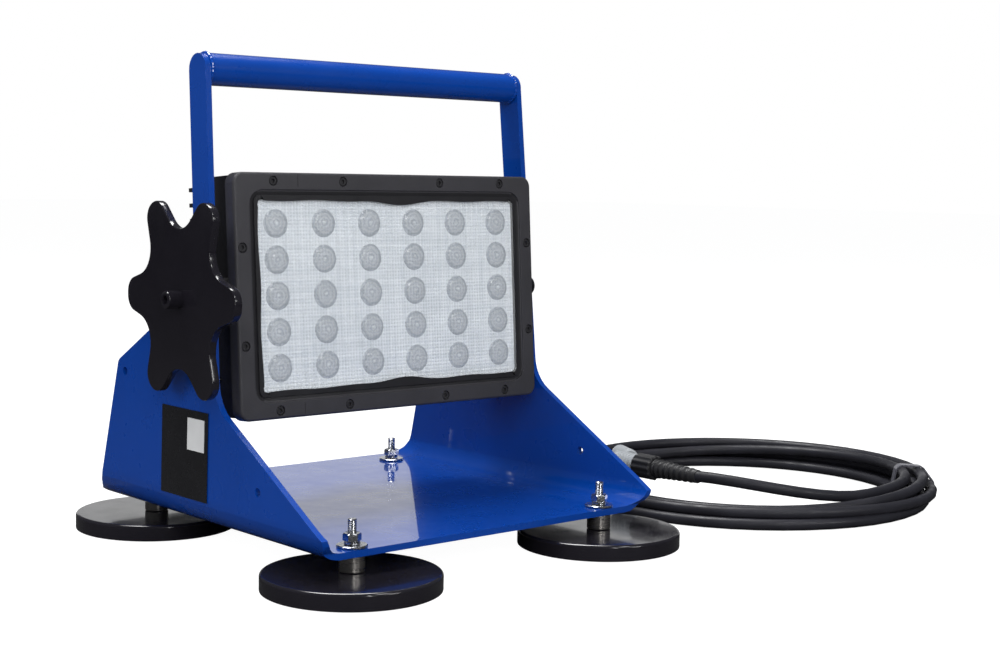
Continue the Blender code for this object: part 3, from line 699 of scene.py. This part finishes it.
def plug_pieces():
    """The connector on the coil: grey body, black collar, ribbed relief and cap."""
    shape = bmesh.new()
    place = Vector((middle("plug_body").x, 0.0, middle("plug_body").z))
    low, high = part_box("plug_body")
    front = high.y / MM
    profile = [(0.01, front), (6.4, front), (7.6, front - 1), (9.0, front - 3)]
    for i in range(5):
        y = front - 5 - 4 * i
        profile += [(9.0, y), (8.5, y - 0.6), (8.5, y - 1.8), (9.0, y - 2.4)]
    profile += [(9.0, low.y / MM), (0.01, low.y / MM)]
    lathe(shape, profile, 48, "Y", place)
    body = finish_piece(
        from_bmesh("plug_shell", shape), "grey", "bracket", ["plug_body"]
    )
    low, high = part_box("plug_collar")
    shape = bmesh.new()
    loops = []
    for y, grow in ((high.y, -1.0), (high.y - 1 * MM, 0.0), (low.y + 1 * MM, 0.0), (low.y, -1.0)):
        loop = []
        for i in range(96):
            angle = math.tau * i / 96
            radius = (10.0 + 0.45 * math.cos(12 * angle) + grow) * MM
            loop.append(place + Vector((radius * math.cos(angle), y, radius * math.sin(angle))))
        loops.append(loop)
    add_loops(shape, loops)
    collar = finish_piece(
        from_bmesh("plug_ring", shape), "black", "bracket", ["plug_collar"]
    )
    low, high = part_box("plug_relief")
    shape = bmesh.new()
    loops = []
    count = 56
    for i in range(count + 1):
        t = i / count
        y = high.y + (low.y - high.y) * t
        rib = 0.7 * math.cos(math.tau * 8 * t) if 0.05 < t < 0.92 else 0.0
        radius = (7.6 - 2.1 * t + rib * (1 - 0.5 * t)) * MM
        bend = t * t * Vector((9.9 * MM, 0.0, -2.6 * MM))
        loop = []
        for k in range(40):
            angle = math.tau * k / 40
            around = Vector((math.cos(angle), 0.0, math.sin(angle))) * radius
            loop.append(place + bend + around + Vector((0.0, y, 0.0)))
        loops.append(loop)
    add_loops(shape, loops)
    relief = finish_piece(
        from_bmesh("plug_boot", shape), "black", "bracket", ["plug_relief"]
    )
    dress("plug_cap", "grey", 0.6 * MM)
    return [body, collar, relief, NODES["plug_cap"]]


def hull(points):
    """The convex hull of points, anticlockwise."""
    ordered = sorted(points)

    def side(run):
        kept = []
        for point in run:
            while len(kept) > 1:
                (ax, ay), (bx, by) = kept[-2:]
                if (bx - ax) * (point[1] - ay) > (by - ay) * (point[0] - ax):
                    break
                kept.pop()
            kept.append(point)
        return kept[:-1]

    return side(ordered) + side(ordered[::-1])


def make_tie():
    """A strap drawn tight round the strands at the coil's right end."""
    angle = math.radians(COIL_START - STATIONS[1])
    out = Vector((math.cos(angle), math.sin(angle), 0.0))
    along = Vector((-out.y, out.x, 0.0))
    outlines = []
    for clearance in (0.2, 1.5):
        reach = CORD_RADIUS / MM + clearance
        points = []
        for turn in COIL_TURNS:
            radius, height = turn[1]
            for i in range(24):
                around = math.tau * i / 24
                point = (radius + reach * math.cos(around), height + reach * math.sin(around))
                points.append(point)
        outlines.append(hull(points))
    inner, outer = outlines
    shape = bmesh.new()
    loops = []
    for (x0, z0), (x1, z1) in zip(inner, outer):
        loop = []
        for (x, z), side in (((x0, z0), -1), ((x0, z0), 1), ((x1, z1), 1), ((x1, z1), -1)):
            spot = COIL_CENTRE + FRAME_SHIFT + out * x * MM + along * side * TIE_WIDTH / 2
            spot.z = max(z, 0.1) * MM
            loop.append(spot)
        loops.append(loop)
    add_loops(shape, loops, True)
    tie = from_bmesh("tie_band", shape)
    return finish_piece(tie, "tie", "bracket", ["coil_tie"])


def make_cords():
    lead, lead_points = make_lead()
    cord, points = make_cord()
    with_pieces = [*plug_pieces(), make_tie()]


# --------------------------------------------------------- bracket, handle


def make_bracket():
    dress("bracket", "blue", 0.7 * MM)
    low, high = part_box("handle_tube")
    radius = (high.z - low.z) / 2 / MM
    centre = (0.0, (low.y + high.y) / 2, (low.z + high.z) / 2)
    ends = (low.x / MM, high.x / MM)
    profile = [(radius, ends[0]), (radius, ends[1])]
    tube = turned("handle_bar", profile, 96, "X", centre)
    finish_piece(tube, "blue", "bracket", ["handle_tube"])
    for tag, end, inward in (("left", ends[0], 1), ("right", ends[1], -1)):
        shape = bmesh.new()
        loops = []
        steps = 120
        for k in range(8):
            around = math.tau * k / 8
            loop = []
            for i in range(steps):
                angle = math.tau * i / steps
                swell = 0.14 * math.sin(23 * angle) + 0.1 * math.sin(7 * angle + 1)
                size = 1.35 + swell
                reach = (radius - 0.3 + size * math.cos(around)) * MM
                along = (end + inward * (0.6 + size * math.sin(around))) * MM
                point = (along, reach * math.cos(angle), reach * math.sin(angle))
                loop.append(Vector(point) + Vector(centre))
            loops.append(loop)
        add_loops(shape, loops, True)
        bead = from_bmesh(f"weld_bead_{tag}", shape)
        finish_piece(bead, "blue", "bracket")


WALL_LEAN = 0.02  # how far the left wall leans in, over its height


def make_label():
    """A plain dark film with one blank pale patch."""
    dress("label_plate", "label", 0.2 * MM)
    low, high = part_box("label_plate")
    size = high - low
    shape = bmesh.new()
    bmesh.ops.create_cube(shape, size=1.0)
    patch_size = Vector((0.25 * MM, 0.36 * size.y, 0.36 * size.z))
    bmesh.ops.scale(shape, vec=patch_size, verts=shape.verts)
    centre = middle("label_plate")
    drop = 0.23 * size.z
    centre += Vector((drop * WALL_LEAN - 0.3 * MM, -0.25 * size.y, drop))
    placing = Matrix.Translation(centre) @ Matrix.Rotation(math.atan(WALL_LEAN), 4, "Y")
    patch = from_bmesh("label_blank", shape, placing)
    finish_piece(patch, "blank", "bracket", (), 0.08 * MM)


# ------------------------------------------------------------------- feet


THREAD_PITCH = 1.27
THREAD_DEPTH = 0.45


def thread_profile(radius, low, high):
    profile = [(0.01, high), (radius - 0.7, high), (radius, high - 0.7)]
    z = high - 0.9
    while z > low + 1.0:
        profile += [(radius, z), (radius - THREAD_DEPTH, z - THREAD_PITCH / 2)]
        z -= THREAD_PITCH
    profile += [(radius, low + 0.6), (radius - 0.6, low), (0.01, low)]
    return profile


def hex_nut(shape, flats, low, high, centre, axis="Z"):
    """A nut with chamfered corners, as loops from its foot to its crown."""
    steps = 72
    corner = flats / math.sqrt(3)
    levels = [(low, flats / 2 - 0.2), (low + 0.7, corner), (high - 0.7, corner)]
    levels += [(high, flats / 2 - 0.2), (high - 0.3, flats / 2 - 2.0)]
    loops = []
    for level, limit in levels:
        loop = []
        for i in range(steps):
            angle = math.tau * i / steps
            within = (angle + math.pi / 6) % (math.pi / 3) - math.pi / 6
            radius = min(flats / 2 / math.cos(within), limit) * MM
            across = radius * math.cos(angle)
            up = radius * math.sin(angle)
            point = {"Z": (across, up, level * MM), "X": (level * MM, across, up)}[axis]
            loop.append(Vector(point) + Vector(centre))
        loops.append(loop)
    add_loops(shape, loops)


CUP_ROUNDING = 2.3
NUT_FLATS = 11.1


def upright(node):
    """Radius, bottom and top of a round upright node, in mm."""
    low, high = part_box(node)
    return (high.x - low.x) / 2 / MM, low.z / MM, high.z / MM


def make_foot(tag):
    spot = middle(f"magnet_cup_{tag}")
    spot.z = 0.0
    radius, _, top = upright(f"magnet_cup_{tag}")
    profile = [(radius - 4.0, 8.5), (radius - 4.0, 0.0), (radius - 0.8, 0.0)]
    profile += [(radius - 0.15, 0.35), (radius, 1.0)]
    for i in range(7):
        angle = math.radians(90 * i / 6)
        across = radius - CUP_ROUNDING * (1 - math.cos(angle))
        profile.append((across, top - CUP_ROUNDING * (1 - math.sin(angle))))
    profile += [(radius - 20.0, top), (10.0, top), (0.01, top)]
    cup = turned(f"foot_{tag}", [(0.01, 8.5), *profile], 128, "Z", spot)
    finish_piece(cup, "gloss", "bracket", [f"magnet_cup_{tag}"])
    dress(f"magnet_core_{tag}", "ferrite", 0.5 * MM)

    outer, bottom, crown = upright(f"spacer_post_{tag}")
    profile = [(3.5, crown), (outer - 0.5, crown), (outer, crown - 0.5)]
    profile += [(outer, bottom + 0.5), (outer - 0.5, bottom), (3.5, bottom)]
    post = turned(f"post_{tag}", profile, 64, "Z", spot, True)
    finish_piece(post, "turned", "bracket", [f"spacer_post_{tag}"])

    profile = thread_profile(*upright(f"stud_{tag}"))
    stud = turned(f"threaded_stud_{tag}", profile, 40, "Z", spot)
    finish_piece(stud, "zinc", "bracket", [f"stud_{tag}"])

    outer, bottom, crown = upright(f"washer_{tag}")
    profile = [(3.5, crown), (outer - 0.5, crown), (outer, crown - 0.4)]
    profile += [(outer, bottom + 0.3), (outer - 0.3, bottom), (3.5, bottom)]
    washer = turned(f"flat_washer_{tag}", profile, 64, "Z", spot, True)
    finish_piece(washer, "zinc", "bracket", [f"washer_{tag}"])

    make_split_washer(tag, spot)

    _, bottom, crown = upright(f"nut_{tag}")
    shape = bmesh.new()
    hex_nut(shape, NUT_FLATS, bottom, crown, spot)
    nut = from_bmesh(f"hex_nut_{tag}", shape)
    finish_piece(nut, "zinc", "bracket", [f"nut_{tag}"])


def make_split_washer(tag, spot):
    outer, bottom, crown = [size * MM for size in upright(f"lock_washer_{tag}")]
    rise = 0.25 * MM
    shape = bmesh.new()
    loops = []
    steps = 60
    for i in range(steps + 1):
        t = i / steps
        angle = math.radians(40 + 342 * t)
        lift = rise * (t - 0.5)
        corners = [(3.5 * MM, bottom), (outer, bottom), (outer, crown), (3.5 * MM, crown)]
        loop = []
        for radius, z in corners:
            across = Vector((radius * math.cos(angle), radius * math.sin(angle), z + lift))
            loop.append(spot + across)
        loops.append(loop)
    add_loops(shape, loops)
    washer = from_bmesh(f"split_washer_{tag}", shape)
    finish_piece(washer, "zinc", "bracket", [f"lock_washer_{tag}"], 0.15 * MM)


# ------------------------------------------------------------------- lamp

SCREW_PLACES = [(x, z) for x in (-107.0, -45.8, 45.8, 107.0) for z in (-82.1, 82.1)]
SCREW_PLACES += [(x, z) for x in (-134.4, 134.4) for z in (-34.8, 34.8)]
PARTING_X = -86.0


def bezel_screw_holes(front):
    cuts = bmesh.new()
    for x, z in SCREW_PLACES:
        spot = Vector((x * MM, 0.0, z * MM))
        profile = [(0.01, front - 1), (4.1, front - 1), (3.6, front + 0.4)]
        profile += [(3.6, front + 2.2), (0.01, front + 2.2)]
        lathe(cuts, profile, 32, "Y", spot)
    return cuts


def make_bezel_screws(front):
    shape = bmesh.new()
    head = front + 0.5
    profile = [(0.01, head + 1.4), (1.35, head + 1.4), (1.55, head), (2.7, head - 0.05)]
    profile += [(3.15, head + 0.35), (3.2, head + 1.6), (0.01, head + 1.65)]
    for x, z in SCREW_PLACES:
        lathe(shape, profile, 36, "Y", Vector((x * MM, 0.0, z * MM)))
    screws = from_bmesh("bezel_screws", shape, LAMP)
    finish_piece(screws, "housing", "lamp")


def make_bezel():
    low, high = local_box("bezel", LAMP)
    front, back = low.y, high.y
    width = high.x - low.x
    height = high.z - low.z
    glass_low, glass_high = local_box("lens", LAMP)
    window = glass_high.x - glass_low.x + 0.6 * MM
    window_height = glass_high.z - glass_low.z + 0.6 * MM
    corner = 8.0 * MM

    def outer(inset, depth):
        size = (width - 2 * inset, height - 2 * inset)
        return rounded_rectangle(*size, corner - inset, depth)

    def inner(grow, depth):
        size = (window + 2 * grow, window_height + 2 * grow)
        return rounded_rectangle(*size, 5.0 * MM + grow, depth)

    rings = [
        outer(0.0, back),
        outer(0.0, front + 2.2 * MM),
        outer(0.25 * MM, front + 1.1 * MM),
        outer(0.9 * MM, front + 0.35 * MM),
        outer(2.0 * MM, front),
        inner(7.2 * MM, front),
        inner(6.9 * MM, front + 0.2 * MM),
        inner(6.6 * MM, front + 1.0 * MM),
        inner(5.6 * MM, front + 1.2 * MM),
        inner(1.2 * MM, front + 1.7 * MM),
        inner(0.2 * MM, front + 2.4 * MM),
        inner(0.0, front + 3.4 * MM),
        inner(0.0, back),
    ]
    shape = bmesh.new()
    add_loops(shape, rings, True)
    bezel = from_bmesh("bezel_frame", shape)

    cut_away(bezel, bezel_screw_holes(front / MM))
    notches = bmesh.new()
    size = Matrix.Diagonal((0.5 * MM, 1.0 * MM, 10.6 * MM, 1.0))
    for end in (-1, 1):
        place = Matrix.Translation((PARTING_X * MM, front, end * (height / 2 - 5.0 * MM)))
        bmesh.ops.create_cube(notches, size=1.0, matrix=place @ size)
    cut_away(bezel, notches)
    finish_piece(bezel, "bezel", "lamp", ["bezel"])
    # The recessed ledge and inner walls round the window take the darker copy of the bezel black,
    # as painted shade.
    bezel.data.materials.append(MATERIALS["lip"])
    for face in bezel.data.polygons:
        across = abs(face.center.x) < window / 2 + 5.4 * MM
        up = abs(face.center.z) < window_height / 2 + 5.4 * MM
        face.material_index = int(across and up)
    bezel.data.transform(LAMP)
    make_seal(window + 6.0 * MM, window_height + 6.0 * MM, glass_low.y)
    make_bezel_screws(front / MM)


def make_seal(width, height, glass):
    """The black seal on the rim of the lens, whose inner edge is a little wavy."""
    shape = bmesh.new()
    outer = rounded_rectangle(width, height, 5.0 * MM, glass, 3)
    outline = []
    for start, end in zip(outer, outer[1:] + outer[:1]):
        steps = max(1, round((Vector(end) - Vector(start)).length / (3 * MM)))
        outline += [Vector(start).lerp(Vector(end), i / steps) for i in range(steps)]
    loops = []
    for place in outline:
        x, z = place.x / MM, place.z / MM
        on_top = abs(z) > height / 2 / MM - 3  # or at the bottom
        bulge = 2.8 * math.exp(-(((x - 4) / 22) ** 2)) if on_top else 0.0
        ripple = 0.45 * math.sin(x / 9.0) if on_top else 0.6 * math.sin(z / 11.0 + 0.8)
        width_here = ((3.9 if on_top else 3.2) + bulge + ripple) * MM
        inwards = Vector((-math.copysign(1, x), 0.0, 0.0))
        if on_top:
            inwards = Vector((0.0, 0.0, -math.copysign(1, z)))
        if abs(x) > width / 2 / MM - 5 and abs(z) > height / 2 / MM - 5:
            inwards = Vector((-x, 0.0, -z)).normalized()
        inner = place + inwards * width_here
        near = Vector((0.0, -0.05 * MM, 0.0))
        far = Vector((0.0, -0.33 * MM, 0.0))
        loops.append([place + near, place + far, inner + far, inner + near])
    add_loops(shape, loops, True)
    seal = from_bmesh("lens_seal", shape, LAMP)
    finish_piece(seal, "lip", "lamp")


LED_COLUMNS = 6
LED_ROWS = 5
LED_PITCH_X = 41.67
LED_PITCH_Z = 25.91
LED_RADIUS = 10.4


def make_optics():
    """The prismatic sheet behind the lens, with a dome over each LED."""
    low, high = local_box("reflector_tray", LAMP)
    front = low.y - 0.5 * MM
    width = high.x - low.x
    height = high.z - low.z
    shape = bmesh.new()
    loops = [
        rounded_rectangle(width, height, 5.0 * MM, high.y),
        rounded_rectangle(width, height, 5.0 * MM, front),
    ]
    add_loops(shape, loops)
    sheet = from_bmesh("prism_sheet", shape, LAMP)
    finish_piece(sheet, "sheet", "lamp", ["reflector_tray"])

    shape = bmesh.new()
    reach = shape.verts.layers.float.new("reach")
    base = front / MM + 0.3
    profile = [(0.01, base), (LED_RADIUS, base)]
    for i in range(15):
        t = 1 - i / 14
        rise = 1.5 * math.sqrt(max(0.0, 1 - t * t)) + 0.12 * math.cos(t * 6 * math.pi)
        profile.append((max(0.01, LED_RADIUS * t), base - 0.25 - rise))
    for column in range(LED_COLUMNS):
        for row in range(LED_ROWS):
            x = (column - (LED_COLUMNS - 1) / 2) * LED_PITCH_X
            z = (row - (LED_ROWS - 1) / 2) * LED_PITCH_Z
            spot = Vector((x * MM, 0.0, z * MM))
            for loop in lathe(shape, profile, 40, "Y", spot):
                for vertex in loop:
                    vertex[reach] = (vertex.co - spot).xz.length / (LED_RADIUS * MM)
    domes = from_bmesh("led_domes", shape, LAMP)
    finish_piece(domes, "optic", "lamp")

    low, high = local_box("lens", LAMP)
    size = (high.x - low.x, high.z - low.z)
    shape = bmesh.new()
    depths = ((0.4, 0.0), (0.0, 0.3), (0.0, 0.75))
    loops = []
    for inset, depth in depths:
        shrunk = [side - 2 * inset * MM for side in size]
        loops.append(rounded_rectangle(*shrunk, 4.0 * MM, low.y + depth * MM))
    add_loops(shape, loops)
    glass = from_bmesh("lens_plate", shape, LAMP)
    finish_piece(glass, "lens", "lamp", ["lens"])


def make_lamp_body():
    dress("lamp_housing", "housing", 0.6 * MM)
    dress("bezel_gasket", "rubber", 0.3 * MM)
    dress("led_board", "board", 0.3 * MM)
    dress("led_driver", "grey", 0.5 * MM)
    dress("wiring_box", "housing", 0.4 * MM)
    low, high = local_box("wiring_box", LAMP)
    shape = bmesh.new()
    width = high.x - low.x - 5 * MM
    height = high.z - low.z - 5 * MM
    centre_z = (low.z + high.z) / 2
    rings = []
    for inset, above in ((0.0, -0.3 * MM), (0.0, 2.0 * MM), (0.8 * MM, 2.6 * MM)):
        size = (width - 2 * inset, height - 2 * inset)
        loop = rounded_rectangle(*size, 4 * MM, high.y + above)
        rings.append([Vector(p) + Vector((0, 0, centre_z)) for p in loop])
    add_loops(shape, rings)
    face = high.y / MM + 2.5
    for x in (-1, 1):
        for z in (-1, 1):
            spot = Vector((x * (width / 2 - 6 * MM), 0.0, centre_z + z * (height / 2 - 6 * MM)))
            profile = [(0.01, face), (2.8, face), (2.4, face + 1.6), (0.01, face + 1.7)]
            lathe(shape, profile, 24, "Y", spot)
    lid = from_bmesh("wiring_lid", shape, LAMP)
    finish_piece(lid, "housing", "lamp", (), 0.2 * MM)

    low, high = local_box("cable_gland", LAMP)
    centre = Vector((0.0, (low.y + high.y) / 2, (low.z + high.z) / 2))
    start = low.x / MM
    end = high.x / MM
    shape = bmesh.new()
    hex_nut(shape, 19.0, start, start + 7.0, centre, "X")
    profile = [(5.2, start + 7.0), (9.0, start + 7.0), (9.6, start + 7.2)]
    profile += [(9.6, start + 18.0), (8.4, start + 20.5), (6.8, end), (5.2, end)]
    lathe(shape, profile, 48, "X", centre, True)
    gland = from_bmesh("gland_body", shape, LAMP)
    finish_piece(gland, "black", "lamp", ["cable_gland"], 0.3 * MM)


# --------------------------------------------------------- pivots and knob

KNOB_LOBES = 6
KNOB_TIPS = (73.0, 76.5, 76.5)  # they repeat round the knob
KNOB_VALLEY = 41.3
KNOB_VALLEY_FILLET = 20.0
KNOB_TIP_FILLET = 12.0
KNOB_HALF_LOBE = 9.8


def fillet(before, corner, after, radius, steps):
    """Points of the arc that rounds a corner between two straight sides."""
    back = (before - corner).normalized()
    ahead = (after - corner).normalized()
    half = back.angle(ahead) / 2
    start = corner + back * (radius / math.tan(half))
    end = corner + ahead * (radius / math.tan(half))
    centre = corner + (back + ahead).normalized() * (radius / math.sin(half))
    first = start - centre
    sweep = math.pi - 2 * half
    side = (end - centre) - first * math.cos(sweep)
    side = side.normalized() * radius
    turns = [sweep * i / steps for i in range(steps + 1)]
    return [centre + first * math.cos(a) + side * math.sin(a) for a in turns]


def star_outline():
    """Six round-ended lobes that widen towards the valleys between them."""
    corners = []
    for i in range(KNOB_LOBES):
        turn = math.tau * i / KNOB_LOBES
        ahead = Vector((math.cos(turn), math.sin(turn)))
        side = Vector((-ahead.y, ahead.x))
        tip = KNOB_TIPS[i % len(KNOB_TIPS)]
        low = turn - math.pi / KNOB_LOBES
        corners.append((Vector((math.cos(low), math.sin(low))) * KNOB_VALLEY, KNOB_VALLEY_FILLET))
        corners.append((ahead * tip - side * KNOB_HALF_LOBE, KNOB_TIP_FILLET))
        corners.append((ahead * tip + side * KNOB_HALF_LOBE, KNOB_TIP_FILLET))
    points = []
    for i, (corner, radius) in enumerate(corners):
        before = corners[i - 1][0]
        after = corners[(i + 1) % len(corners)][0]
        points += fillet(before, corner, after, radius, 14)
    return points


def make_knob():
    low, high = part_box("star_knob")
    outline = star_outline()
    shape = bmesh.new()
    loops = []
    edge = 1.0
    left = (low.x - PIVOT.x) / MM
    right = (high.x - PIVOT.x) / MM
    levels = [(left, edge), (left + 0.3, 0.3), (left + edge, 0.0)]
    levels += [(right - edge, 0.0), (right - 0.3, 0.3), (right, edge)]
    count = len(outline)
    normals = []
    for i in range(count):
        along = outline[(i + 1) % count] - outline[i - 1]
        normals.append(Vector((along.y, -along.x)).normalized())
    for level, inset in levels:
        loop = []
        for point, normal in zip(outline, normals):
            y, z = point - normal * inset
            loop.append((level * MM, y * MM, z * MM))
        loops.append(loop)
    add_loops(shape, loops)
    star = from_bmesh("star_wheel", shape)
    hole = bmesh.new()
    lathe(hole, [(6.6, left - 3), (6.6, right + 3)], 48, "X")
    cut_away(star, hole)
    star.data.transform(KNOB)
    finish_piece(star, "gloss", "knob", ["star_knob"])

    low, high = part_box("knob_screw")
    tip = (low.x - PIVOT.x) / MM
    end = (high.x - PIVOT.x) / MM
    neck = (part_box("knob_hub")[0].x - PIVOT.x) / MM - 0.6
    shape = bmesh.new()
    profile = [(0.01, end), (3.4, end), (4.0, end - 0.6), (4.0, neck), (6.3, neck)]
    profile += [(6.3, tip + 0.9), (5.9, tip + 0.25), (5.2, tip), (0.01, tip)]
    lathe(shape, profile, 64, "X")
    screw = from_bmesh("socket_screw", shape)
    socket = bmesh.new()
    lathe(socket, [(3.5, tip - 2), (3.5, tip + 7)], 6, "X")
    cut_away(screw, socket)
    screw.data.transform(KNOB)
    finish_piece(screw, "gloss", "knob", ["knob_screw"])
    dress("knob_hub", "gloss", 1.0 * MM)


def make_pivots():
    for side in ("left", "right"):
        dress(f"pivot_boss_{side}", "housing", 0.5 * MM)
        dress(f"friction_disc_{side}", "rubber", 0.3 * MM)
    dress("pivot_bolt_right", "gloss", 0.4 * MM)
    dress("stop_screw", "zinc", 0.3 * MM)
    dress("cord_clip", "black", 0.4 * MM)
    dress("clip_screw", "zinc", 0.3 * MM)
    dress("clip_nut", "zinc", 0.3 * MM)


# ------------------------------------------------------------------ stage


def area_light(name, place, target, size, power, glossy=True):
    data = bpy.data.lights.new(name, "AREA")
    data.shape = "RECTANGLE"
    data.size, data.size_y = size
    data.energy = power
    light = bpy.data.objects.new(name, data)
    bpy.context.scene.collection.objects.link(light)
    light.location = place
    aim = Vector(target) - Vector(place)
    light.rotation_euler = aim.to_track_quat("-Z", "Y").to_euler()
    light.visible_glossy = glossy


def make_stage():
    shape = bmesh.new()
    bmesh.ops.create_grid(shape, x_segments=1, y_segments=1, size=14.0)
    floor = from_bmesh("floor", shape)
    floor.location.z = -0.0006
    s = Shader("pale_floor", (0.22, 0.22, 0.22), 0.7)
    path = s.add("ShaderNodeLightPath")
    glow = s.math("MULTIPLY", path.outputs["Is Camera Ray"], 0.97)
    s.link(glow, s.principled.inputs["Emission Strength"])
    s.blend_to((0.03, 0.03, 0.03), path.outputs["Is Glossy Ray"])
    s.set("Emission Color", (1.0, 1.0, 1.0, 1.0))
    s.set("Specular IOR Level", 0.1)
    floor.data.materials.append(s.material)

    world = bpy.data.worlds.new("studio")
    world.use_nodes = True
    bpy.context.scene.world = world
    tree = world.node_tree
    background = tree.nodes["Background"]
    soft = tree.nodes.new("ShaderNodeBackground")
    mix = tree.nodes.new("ShaderNodeMixShader")
    path = tree.nodes.new("ShaderNodeLightPath")
    background.inputs["Color"].default_value = (0.9, 0.95, 1.0, 1.0)
    background.inputs["Strength"].default_value = 0.08
    soft.inputs["Color"].default_value = (1.0, 1.0, 1.0, 1.0)
    soft.inputs["Strength"].default_value = 1.0
    tree.links.new(path.outputs["Is Camera Ray"], mix.inputs["Fac"])
    tree.links.new(background.outputs[0], mix.inputs[1])
    tree.links.new(soft.outputs[0], mix.inputs[2])
    tree.links.new(mix.outputs[0], tree.nodes["World Output"].inputs["Surface"])

    area_light("overhead", (0.0, 0.45, 1.9), (0.0, 0.0, 0.1), (1.5, 0.7), 52.0)
    area_light("wide_fill", (-1.2, -1.9, 1.3), (0.0, 0.0, 0.1), (1.6, 1.6), 38.0, glossy=False)
    area_light("side_fill", (-2.0, 0.2, 0.8), (0.0, 0.0, 0.15), (1.2, 1.2), 16.0, glossy=False)
    area_light("strip", (-0.55, -1.9, 0.7), (0.0, 0.0, 0.2), (0.12, 1.2), 4.0)
    area_light("window_high", (0.2, -1.5, 1.7), (-0.1, 0.0, 0.2), (0.5, 0.3), 7.0)
    area_light("window_low", (0.5, -2.0, 0.9), (-0.1, 0.0, 0.2), (0.5, 0.3), 6.0)
    area_light("rear_panel", (1.75, 2.05, 0.42), (0.0, 0.0, 0.05), (3.4, 0.8), 5.5)
    bpy.context.scene.view_settings.view_transform = "Standard"


def main():
    make_camera()
    make_cords()
    make_stage()
    make_bracket()
    make_label()
    for tag in CORNERS:
        make_foot(tag)
    make_bezel()
    make_optics()
    make_lamp_body()
    make_knob()
    make_pivots()


main()
